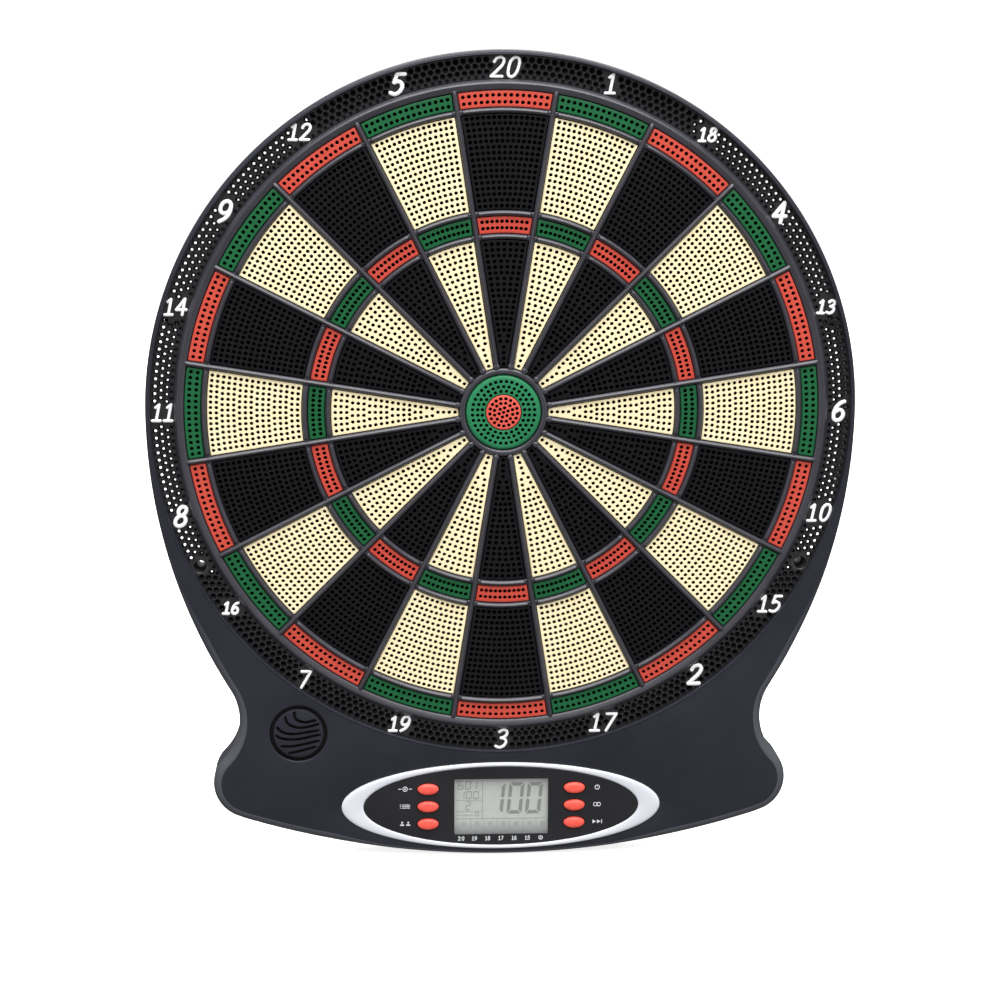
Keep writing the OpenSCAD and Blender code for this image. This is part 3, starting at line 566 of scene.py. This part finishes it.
def glyph_paths(text, size, cx, cy, slant=0.2, gap=0.78, squeeze=1.0):
    """Centre lines of a number, its box centred on (cx, cy); size is the height of the centre lines."""
    paths, x = [], 0.0
    for ch in text:
        adv = 0.71 if ch == "1" else gap
        for kind, pts in C[ch]:
            pts = [((px + x + slant * (py - 0.5)) * size * squeeze, (py - 0.5) * size) for px, py in pts]
            paths.append((kind, pts))
        x += adv
    xs = [p[0] for _, pts in paths for p in pts]
    mid = (min(xs) + max(xs)) / 2
    return [(kind, [(px - mid + cx, py + cy) for px, py in pts]) for kind, pts in paths]


def resample(kind, pts):
    if kind == "l":
        (x0, y0), (x1, y1) = pts
        n = 4
        return [(x0 + (x1 - x0) * k / n, y0 + (y1 - y0) * k / n) for k in range(n + 1)]
    return spline(pts, kind == "c")


def stroke(b, kind, pts, w, z0, z1, flat=0.55, mi=0):
    """Rounded raised bar along a centre line, with round ends."""
    pts = resample(kind, pts)
    closed = kind == "c"
    n = len(pts)
    st = []
    for k, (x, y) in enumerate(pts):
        p, q = pts[(k - 1) % n] if closed or k else pts[0], pts[(k + 1) % n] if closed or k < n - 1 else pts[-1]
        dx, dy = q[0] - p[0], q[1] - p[1]
        l = math.hypot(dx, dy) or 1
        st.append((x, y, dx / l, dy / l, 1.0))
    if not closed:
        def end(s, sign):
            x, y, dx, dy, _ = s
            return [(x + sign * dx * w / 2 * sin(a), y + sign * dy * w / 2 * sin(a), dx, dy, max(cos(a), 0.04))
                    for a in (rad(25), rad(48), rad(68), rad(84), rad(89))]
        st = end(st[0], -1)[::-1] + st + end(st[-1], 1)
    prof = [(1.0, 0.0), (1.0, flat), (0.86, 0.82), (0.55, 0.97), (0.0, 1.0), (-0.55, 0.97), (-0.86, 0.82), (-1.0, flat), (-1.0, 0.0)]
    rings = []
    for x, y, dx, dy, f in st:
        i = len(b.v)
        for u, h in prof:
            hh = h if h <= flat else flat + (h - flat) * min(1.0, f * 1.2)
            b.v.append(P(x + dy * u * w / 2 * f, y - dx * u * w / 2 * f, z0 + (z1 - z0) * hh))
        rings.append(list(range(i, i + len(prof))))
    pairs = list(zip(rings, rings[1:] + rings[:1])) if closed else list(zip(rings, rings[1:]))
    for r0, r1 in pairs:
        m = len(r0)
        for k in range(m):
            j = (k + 1) % m
            b.face((r0[k], r1[k], r1[j], r0[j]), mi)
    if not closed:
        b.face(rings[0], mi)
        b.face(rings[-1][::-1], mi)


b = Build()
keepout = []
for k, num in enumerate(NUMBERS):
    a = rad(18 * k)
    size, gr = 10.6, 182.2
    for attempt in range(24):
        paths = glyph_paths(str(num), size, gr * sin(a) - (1.4 if num == 1 else 0.0), gr * cos(a))
        reach = [math.hypot(x, y) for kind, pts in paths for x, y in resample(kind, pts)]
        thick = 2.0 if size > 10.3 else 1.5
        if max(reach) - min(reach) <= 12.1 - thick and abs(max(reach) + min(reach) - 364.4) < 0.1:
            break
        gr -= (max(reach) + min(reach) - 364.4) / 2
        size -= 0.2 if max(reach) - min(reach) > 12.1 - thick else 0.0
    for kind, pts in paths:
        keepout += resample(kind, pts)
        stroke(b, kind, pts, thick, 21.2, 23.0, flat=0.8)
o = b.obj("numerals_raised", [WHITE], 60)
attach(o, "board"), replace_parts(o, "number_inserts"), o
keep = np.array(keepout)

# ---------------------------------------------------------------- catch ring
b = Build()
holes = [(0.0, 0.0, ((176.2, 21.8), (176.2, 19.4)), 360)]
for s in (-1, 1):
    holes.append((s * SCREW[0], SCREW[1], ((3.6, 21.8), (3.35, 21.6), (3.3, 21.3), (3.3, 19.4)), 48))
COLS = 292
for i, (r, top, low) in enumerate(((177.35, 1.0, 0.45), (179.8, 1.62, 0.5), (182.95, 1.7, 0.6), (186.15, 1.74, 0.72))):
    for c in range(COLS):
        a = 2 * pi * (c + (0.5 if i % 2 else 0.0)) / COLS
        x, y = r * sin(a), r * cos(a)
        near = float(np.sqrt(((keep - (x, y)) ** 2).sum(1)).min())
        if near < 2.2:
            continue
        if any(math.hypot(x - s * SCREW[0], y - SCREW[1]) < 3.75 + top for s in (-1, 1)):
            continue
        holes.append((x, y, ((top, 21.8), (top * 0.95, 21.55), (low * 1.15, 20.35), (low, 20.0), (low, 19.4)), 12))
perforated(b, [(circle(188.9, 360), 21.8), (circle(188.9, 360), 19.4)], holes, painted_shade_mi=0)
# posts of the wall screws and the round wall behind the ring
for s in (-1, 1):
    lathe(b, [(4.1, 0.02), (4.1, 19.5), (3.3, 19.5), (3.3, 12.0), (2.2, 12.0), (2.2, 0.02)], 40, s * SCREW[0], SCREW[1])
lathe(b, [(178.4, 2.05), (178.4, 19.5), (176.2, 19.5), (176.2, 2.05)], 240)
o = b.obj("catch_ring", [MESH], 42)
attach(o, "board"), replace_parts(o, "front_housing"), o

# ---------------------------------------------------------------- front housing
SIDE_C, SIDE_R = (-105.0, 0.0), BODY_R + 105
WAIST_C, WAIST_R = (175.5, -170.2), 31.8
CORNER_C, CORNER_R = (138.4, -206.3), 20.0
BOTTOM_C, BOTTOM_R = (0.0, 218.2), 466.7


def bearing(a, b):
    return math.atan2(b[1] - a[1], b[0] - a[0])


def arc(c, r, a0, a1, n):
    return [(c[0] + r * cos(a0 + (a1 - a0) * k / n), c[1] + r * sin(a0 + (a1 - a0) * k / n)) for k in range(n + 1)]


def outline(i):
    """Right half from the top, then mirrored; every inset has the same number of points."""
    s = bearing(SIDE_C, WAIST_C)
    w0, w1 = bearing(WAIST_C, SIDE_C), bearing(WAIST_C, CORNER_C)
    w0 += 2 * pi if w0 < 0 else 0
    w1 += 2 * pi if w1 < 0 else 0
    k0, k1 = bearing(CORNER_C, WAIST_C), bearing(BOTTOM_C, CORNER_C)
    p = arc((0, 0), BODY_R - i, pi / 2, 0, 100)
    p += arc(SIDE_C, SIDE_R - i, 0, s, 50)[1:]
    p += arc(WAIST_C, WAIST_R + i, w0, w1, 30)[1:]
    p += arc(CORNER_C, CORNER_R - i, k0, k1, 24)[1:]
    p += arc(BOTTOM_C, BOTTOM_R - i, k1, -pi / 2, 50)[1:]
    left = [(-x, y) for x, y in p[-2:0:-1]]
    return (p + left)[::-1]


full0, full1 = np.array(outline(0)), np.array(outline(4.4))


def soft(p):
    """How wide the rounded edge is at a point of the outline: narrow round the ring and under the panel."""
    x, y = abs(p[0]), p[1]
    if y > -95:
        return 0.38
    if y > -125:
        return 0.38 + 0.62 * (-95 - y) / 30
    if x < 62:
        return 0.5
    if x < 95 and y < -225:
        return 0.5 + 0.5 * (x - 62) / 33
    return 1.0


softness = np.array([soft(p) for p in full0])


def edge_loop(t):
    return [tuple(p) for p in full0 + (full1 - full0) * (softness * t)[:, None]]


def band(loops_top, z):
    return [(edge_loop(t), h) for t, h in z]


b = Build()
prof = [(1.0, 24.5), (0.83, 24.42), (0.62, 24.15), (0.42, 23.65), (0.24, 22.9), (0.1, 21.9), (0.02, 20.7), (0.0, 19.6)]
rings = [b.ring(edge_loop(t), h) for t, h in prof]
rings += [b.ring(outline(i), h) for i, h in ((0.0, 0.5), (0.15, 0.12), (0.5, 0.0), (2.4, 0.0), (2.4, 21.9))]
b.walls(rings[:8], 1)
b.walls(rings[7:])
outer_top, outer_low = rings[0], rings[-1]


def opening(profile, mi=0):
    rs = [b.ring(p, h) for p, h in profile]
    b.walls(rs, mi, flip=True)
    return rs


ringway = opening([(circle(r, 360), h) for r, h in ((189.42, 24.5), (189.3, 24.68), (189.0, 24.8), (188.65, 24.72), (188.4, 24.4),
                                                      (188.3, 23.9), (188.3, 21.9))])
pocket = opening([(oval(88.2 + i, 24.7 + i, 0, PANEL_Y, 160), h) for i, h in ((0.75, 24.5), (0.45, 24.38), (0.28, 24.1), (0.25, 21.9))])
grille = opening([(circle(r, 96, *SPK), h) for r, h in ((16.5, 24.5), (16.1, 24.4), (15.75, 24.1), (15.55, 23.6), (15.45, 22.0),
                                                          (13.75, 22.0), (13.65, 23.4), (13.5, 23.8), (13.2, 23.95))])
# painted shade: the wall and floor of the groove round the grille disc take the near-black segment plastic, darker than
# the body, for the shade in the groove
b.m[-96 * 6:-96 * 3] = [2] * (96 * 3)
b.fill([outer_top, ringway[0], pocket[0], grille[0]])

px = 41.5
slots_px = (
    [(705, 215), (690, 300), (728, 398), (830, 458), (950, 476), (1080, 452), (1205, 425)],
    [(478, 262), (497, 400), (560, 515), (680, 578), (850, 602), (1050, 572), (1200, 532), (1340, 490)],
    [(262, 470), (298, 590), (400, 690), (550, 742), (700, 748), (900, 722), (1100, 690), (1390, 640)],
    [(215, 720), (330, 822), (500, 872), (700, 876), (900, 852), (1100, 805), (1370, 750)],
    [(225, 1018), (400, 1036), (600, 1040), (800, 1012), (1000, 968), (1300, 900)],
    [(320, 1190), (480, 1194), (620, 1190), (800, 1152), (1000, 1100), (1210, 1040)],
)
slot_rings_top, slot_rings_low = [], []
for pts in slots_px:
    line = spline([((u - 780) / px, -(v - 740) / px) for u, v in pts], False, 6)
    line = [p for p in line if math.hypot(*p) < 12.6]
    left, right = [], []
    for k, (x, y) in enumerate(line):
        p, q = line[max(k - 1, 0)], line[min(k + 1, len(line) - 1)]
        dx, dy = q[0] - p[0], q[1] - p[1]
        l = math.hypot(dx, dy)
        e = min(k, len(line) - 1 - k)
        w = 0.78 * (0.5, 0.85, 1.0)[min(e, 2)]
        left.append((SPK[0] + x - dy / l * w, SPK[1] + y + dx / l * w))
        right.append((SPK[0] + x + dy / l * w, SPK[1] + y - dx / l * w))
    loop = right + left[::-1]
    t, m, w_ = b.ring(loop, 23.95), b.ring(loop, 23.2), b.ring(loop, 21.9)
    # painted shade: the slot walls take the same near-black, for the shade down the slots
    b.walls([t, m, w_], 2, flip=True)
    slot_rings_top.append(t)
    slot_rings_low.append(w_)
b.fill([grille[-1]] + slot_rings_top, concave=range(1, 7))
b.fill([outer_low, ringway[-1], pocket[-1]] + slot_rings_low, flip=True, concave=range(3, 9))
# floor of the panel's pocket
rs = [b.ring(oval(a, c, 0, PANEL_Y, 160), h) for a, c, h in ((88.35, 24.85, 22.95), (88.35, 24.85, 21.95), (74.5, 21.6, 21.95), (74.5, 21.6, 22.95))]
b.walls(rs + rs[:1])
o = b.obj("housing_shell", [BODY, EDGE_PAINTED_REFLECTION, BLACK], 32)
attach(o, "board"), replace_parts(o, "front_housing"), o

# ---------------------------------------------------------------- control panel
b = Build()
n = 160
tr = []
for t, h in ((0.0, 23.0), (0.0, 24.5), (0.012, 24.95), (0.05, 25.2), (0.16, 25.45), (0.4, 25.58), (0.65, 25.58), (0.86, 25.48),
             (0.955, 25.32), (1.0, 25.12), (1.0, 23.0)):
    a, c = 88.2 + (76.25 - 88.2) * t, 24.7 + (22.7 - 24.7) * t
    tr.append(b.ring(oval(a, c, 0, PANEL_Y, n), h))
tr = tr[::-1]
for r0, r1 in zip(tr, tr[1:] + tr[:1]):
    b.wall(r0, r1)
o = b.obj("trim_ring", [TRIM], 50)
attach(o, "board"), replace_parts(o, "fascia_trim"), o

b = Build()
rs = [b.ring(oval(76.2 - i, 22.65 - i, 0, PANEL_Y, n), h) for i, h in ((0.56, 25.1), (0.5, 25.1), (0.2, 25.02), (0.03, 24.8), (0.0, 24.5), (0.0, 23.0))]
b.walls(rs)
top, low = [rs[0]], [rs[-1]]


def rounded_rect(w, h, r, cx, cy, n=5):
    pts = []
    for sx, sy, a in ((1, -1, -pi / 2), (1, 1, 0), (-1, 1, pi / 2), (-1, -1, pi)):
        for k in range(n + 1):
            t = a + pi / 2 * k / n
            pts.append((cx + sx * (w / 2 - r) + r * cos(t), cy + sy * (h / 2 - r) + r * sin(t)))
    return pts


win = [b.ring(rounded_rect(51.9 + 2 * i, 31.6 + 2 * i, 0.5 + i, 0, WINDOW_Y), h) for i, h in ((0.41, 25.1), (0.35, 25.1), (0.1, 25.0), (0.02, 24.8), (0.02, 23.0))]
b.walls(win, flip=True)
top.append(win[0]), low.append(win[-1])
for s in (-1, 1):
    for k in (-1, 0, 1):
        rr = [b.ring(oval(6.25 + i, 3.45 + i, s * 40.5, BUTTON_Y + k * 10, 48), h) for i, h in ((0.36, 25.1), (0.3, 25.1), (0.08, 24.98), (0.0, 24.7), (0.0, 23.0))]
        b.walls(rr, flip=True)
        top.append(rr[0]), low.append(rr[-1])
b.fill(top)
b.fill(low, flip=True)
o = b.obj("control_panel", [PANEL], 40)
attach(o, "board"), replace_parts(o, "fascia_panel"), o

side_names = {-1: "left", 1: "right"}
row_names = {1: "top", 0: "middle", -1: "bottom"}
for s in (-1, 1):
    for k in (-1, 0, 1):
        b = Build()
        cx, cy = s * 40.5, BUTTON_Y + k * 10
        prof = [(0.0, 27.0), (0.3, 26.97), (0.55, 26.88), (0.72, 26.74), (0.84, 26.52), (0.92, 26.2), (0.97, 25.75), (0.995, 25.1), (1.0, 24.3), (1.0, 22.2)]
        rs = []
        for t, h in prof[1:]:
            a, c = 5.9 * t, 3.1 * t
            if t < 1:
                c = 3.1 - 3.1 * (1 - t) * 1.0
            rs.append(b.ring(oval(a, c, cx, cy, 48), h))
        apex = b.ring([(cx, cy)], 27.0)[0]
        for j in range(48):
            b.face((apex, rs[0][j], rs[0][(j + 1) % 48]))
        b.walls(rs)
        for a, c, h in ((6.6, 3.75, 22.2), (6.6, 3.75, 20.2)):
            rs.append(b.ring(oval(a, c, cx, cy, 48), h))
        b.walls(rs[-3:])
        b.cap(rs[-1], flip=True)
        nm = f"{side_names[s]}_{row_names[k]}"
        o = b.obj(f"button_cap_{nm}", [BUTTON], 45)
        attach(o, f"button_{nm}_key"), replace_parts(o, f"button_{nm}"), o

# display segments, on the glass under the window
b = Build()
LX, LY = 0.0, WINDOW_Y - 0.9


def flat(b, pts, h0, h1, mi=0):
    area = sum(pts[k][0] * pts[(k + 1) % len(pts)][1] - pts[(k + 1) % len(pts)][0] * pts[k][1] for k in range(len(pts)))
    if area < 0:
        pts = pts[::-1]
    a, c = b.ring(pts, h1), b.ring(pts, h0)
    b.wall(a, c, mi)
    b.cap(a, mi)
    b.cap(c, mi, flip=True)


SEVEN = {"0": "abcdef", "1": "bc", "2": "abged", "3": "abgcd", "6": "afgedc", "5": "afgcd", "7": "abc"}


def seven(b, ch, x, y, w, h, t, slant, z0, z1, mi):
    """Seven-bar figure in a box w by h with its lower left corner at x, y."""
    g = t * 0.18

    def q(px, py):
        return (x + px + slant * py, y + py)

    bars = {
        "a": [(g + t * .1, h), (w - g - t * .1, h), (w - g - t, h - t), (g + t, h - t)],
        "d": [(g + t * .1, 0), (w - g - t * .1, 0), (w - g - t, t), (g + t, t)],
        "g": [(g + t * .8, h / 2 + t / 2), (w - g - t * .8, h / 2 + t / 2), (w - g - t * .4, h / 2), (w - g - t * .8, h / 2 - t / 2),
              (g + t * .8, h / 2 - t / 2), (g + t * .4, h / 2)],
        "f": [(0, h - g - t * .1), (t, h - g - t), (t, h / 2 + g + t * .4), (t * .4, h / 2 + g), (0, h / 2 + g + t * .3)],
        "e": [(0, g + t * .1), (t, g + t), (t, h / 2 - g - t * .4), (t * .4, h / 2 - g), (0, h / 2 - g - t * .3)],
        "b": [(w, h - g - t * .1), (w - t, h - g - t), (w - t, h / 2 + g + t * .4), (w - t * .4, h / 2 + g), (w, h / 2 + g + t * .3)],
        "c": [(w, g + t * .1), (w - t, g + t), (w - t, h / 2 - g - t * .4), (w - t * .4, h / 2 - g), (w, h / 2 - g - t * .3)],
    }
    for s in SEVEN[ch]:
        flat(b, [q(*p) for p in bars[s]], z0, z1, mi)


Z0, Z1 = 21.81, 21.9
for ch, x, w in (("1", -6.7, 7.6), ("0", 2.9, 8.5), ("0", 13.2, 8.5)):
    seven(b, ch, LX + x, LY - 4.3, w, 18.0, 1.95, 0.1, Z0, Z1, 0)
for ch, x in (("6", -24.2), ("0", -20.0), ("1", -16.6)):
    seven(b, ch, LX + x, LY + 9.9, 3.2, 4.9, 0.55, 0.08, Z0, Z1, 1)
for ch, x in (("1", -23.6), ("0", -19.6), ("0", -15.6)):
    seven(b, ch, LX + x, LY + 4.4, 3.2, 4.5, 0.55, 0.08, Z0, Z1, 1)
seven(b, "2", LX - 19.9, LY - 2.0, 2.9, 5.2, 0.6, 0.08, Z0, Z1, 1)
seven(b, "0", LX - 14.6, LY - 5.6, 2.2, 2.3, 0.4, 0.08, Z0, Z1, 1)


def bar(x0, y0, x1, y1, t, mi):
    if abs(x1 - x0) > abs(y1 - y0):
        flat(b, [(LX + x0, LY + y0 - t / 2), (LX + x1, LY + y0 - t / 2), (LX + x1, LY + y0 + t / 2), (LX + x0, LY + y0 + t / 2)], Z0, Z1, mi)
    else:
        flat(b, [(LX + x0 - t / 2, LY + y0), (LX + x0 + t / 2, LY + y0), (LX + x0 + t / 2, LY + y1), (LX + x0 - t / 2, LY + y1)], Z0, Z1, mi)


bar(-10.3, -6.8, -10.3, 15.2, 0.3, 1)
bar(-25.2, -7.0, 25.2, -7.0, 0.3, 1)
bar(-25.2, 3.7, -10.6, 3.7, 0.25, 1)
bar(-25.2, -2.8, -10.6, -2.8, 0.25, 1)
bar(-25.2, -4.9, -15.6, -4.9, 0.25, 1)
for k in range(6):
    bar(-16.9 + 7.3 * k, -15.0, -16.9 + 7.3 * k, -7.2, 0.22, 1)
for k in range(7):
    x = -20.6 + 7.3 * k
    for dx in (-0.7, 0.1, 0.9):
        bar(x + dx, -11.6, x + dx, -8.6, 0.32, 1)
o = b.obj("lcd_figures", [LCD_INK, LCD_FAINT], 30)
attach(o, "board"), o

# printed marks on the panel: figures under the window, plain pictograms beside the buttons
b = Build()
Z0, Z1 = 25.08, 25.14
for k, t in enumerate(("20", "19", "18", "17", "16", "15")):
    for kind, pts in glyph_paths(t, 2.1, -22.2 + 7.36 * k, WINDOW_Y - 18.2, slant=0.0, gap=1.02, squeeze=0.95):
        stroke(b, kind, pts, 0.4, Z0, Z1, flat=0.9)


def ringmark(x, y, r, w):
    stroke(b, "c", [(x + r * cos(a * pi / 4), y + r * sin(a * pi / 4)) for a in range(8)], w, Z0, Z1, flat=0.9)


def dot(x, y, r):
    flat(b, circle(r, 20, x, y), Z0, Z1)


def line(x0, y0, x1, y1, w=0.42):
    stroke(b, "l", [(x0, y0), (x1, y1)], w, Z0, Z1, flat=0.9)


ringmark(22.0, WINDOW_Y - 18.2, 1.05, 0.4)
dot(22.0, WINDOW_Y - 18.2, 0.42)
for s in (-1, 1):
    for k in (1, 0, -1):
        y = BUTTON_Y + k * 10 + 0.3
        x = s * 53.2
        if (s, k) == (-1, 1):        # target
            ringmark(x, y, 1.25, 0.4), dot(x, y, 0.5)
            line(x - 3.6, y, x - 2.2, y), line(x + 2.2, y, x + 3.6, y)
        elif (s, k) == (-1, 0):      # list
            for d in (-0.9, 0, 0.9):
                dot(x - 2.6, y + d, 0.24), line(x - 1.7, y + d, x + 2.6, y + d, 0.36)
        elif (s, k) == (-1, -1):     # two counters
            for d in (-1.7, 1.7):
                dot(x + d, y + 0.7, 0.55), line(x + d - 0.75, y - 0.7, x + d + 0.75, y - 0.7, 0.8)
        elif (s, k) == (1, 1):       # standby
            q = [(x + 1.2 * cos(rad(t)), y - 0.1 + 1.2 * sin(rad(t))) for t in range(125, 416, 29)]
            stroke(b, "s", q, 0.42, Z0, Z1, flat=0.9)
            line(x, y + 0.2, x, y + 1.35)
        elif (s, k) == (1, 0):       # double ring
            ringmark(x - 0.9, y, 1.05, 0.4), ringmark(x + 0.9, y, 1.05, 0.4)
        else:                        # next
            flat(b, [(x - 2.4, y - 1.05), (x - 0.4, y), (x - 2.4, y + 1.05)], Z0, Z1)
            flat(b, [(x + 0.1, y - 1.05), (x + 2.1, y), (x + 0.1, y + 1.05)], Z0, Z1)
            line(x + 2.7, y - 1.0, x + 2.7, y + 1.0)
o = b.obj("panel_print", [PRINT], 30)
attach(o, "board"), o

# ---------------------------------------------------------------- stage
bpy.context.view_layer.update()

me = bpy.data.meshes.new("floor")
z = cad_box[0][2] - 0.0006
me.from_pydata([(-30, -30, z), (30, -30, z), (30, 60, z), (-30, 60, z)], [], [(0, 1, 2, 3)])
floor = link("floor", me)
fm = bpy.data.materials.new("floor_pale")
fm.use_nodes = True
bs = fm.node_tree.nodes["Principled BSDF"]
bs.inputs["Base Color"].default_value = (0.9, 0.9, 0.9, 1)
bs.inputs["Roughness"].default_value = 0.9
bs.inputs["Specular IOR Level"].default_value = 0.0
bs.inputs["Emission Color"].default_value = (1, 1, 1, 1)
bs.inputs["Emission Strength"].default_value = 0.82
me.materials.append(fm)
floor.visible_glossy = False
floor.visible_diffuse = False

world = bpy.data.worlds.new("studio")
bpy.context.scene.world = world
world.use_nodes = True
nt = world.node_tree
nt.nodes.clear()
wo = nt.nodes.new("ShaderNodeOutputWorld")
wa = node(nt, "ShaderNodeBackground", Color=(1, 1, 1, 1), Strength=0.3)
wb = node(nt, "ShaderNodeBackground", Color=(1, 1, 1, 1), Strength=1.05)
lp = nt.nodes.new("ShaderNodeLightPath")
mx = nt.nodes.new("ShaderNodeMixShader")
nt.links.new(lp.outputs["Is Camera Ray"], mx.inputs[0])
nt.links.new(wa.outputs[0], mx.inputs[1])
nt.links.new(wb.outputs[0], mx.inputs[2])
nt.links.new(mx.outputs[0], wo.inputs[0])


def area(name, loc, target, sx, sy, power):
    l = bpy.data.lights.new(name, "AREA")
    l.shape = "RECTANGLE"
    l.size, l.size_y, l.energy = sx, sy, power
    o = link(name, l)
    o.location = loc
    o.rotation_mode = "QUATERNION"
    o.rotation_quaternion = (Vector(target) - Vector(loc)).to_track_quat("-Z", "Y")
    return o


area("key_top", (0.35, -3.1, 2.8), (0, 0, -0.05), 3.0, 1.9, 104)
area("overhead", (0.0, -0.5, 1.9), (0, 0.0, -0.1), 2.4, 1.5, 78)
area("side_left", (-1.9, -1.7, 0.1), (0, 0, -0.05), 1.2, 1.6, 7)
area("side_right", (1.9, -1.7, 0.1), (0, 0, -0.05), 1.2, 1.6, 6)
area("low_front", (0.0, -2.6, -1.9), (0, 0, -0.1), 2.0, 1.2, 3)
area("back_soft", (0.3, 2.4, 2.2), (0, 0, 0), 2.4, 2.0, 50)

# ---------------------------------------------------------------- camera
cam = bpy.data.cameras.new("camera")
co = link("camera", cam)
cam.sensor_width, cam.lens = 36.0, 83.49
cam.clip_start, cam.clip_end = 0.05, 200
pan, tilt, roll = 0.0596, -0.1861, 0.0056
fwd = Vector((sin(pan) * cos(tilt), cos(pan) * cos(tilt), sin(tilt)))
right = Vector((cos(pan), -sin(pan), 0))
up = right.cross(fwd)
r2 = right * cos(roll) + up * sin(roll)
u2 = up * cos(roll) - right * sin(roll)
co.matrix_world = Matrix(((r2.x, u2.x, -fwd.x, -0.07495), (r2.y, u2.y, -fwd.y, -1.2533), (r2.z, u2.z, -fwd.z, 0.18397), (0, 0, 0, 1)))
bpy.context.scene.camera = co
vs = bpy.context.scene.view_settings
vs.view_transform = "Standard"
vs.look = "None"
vs.exposure = 0.0
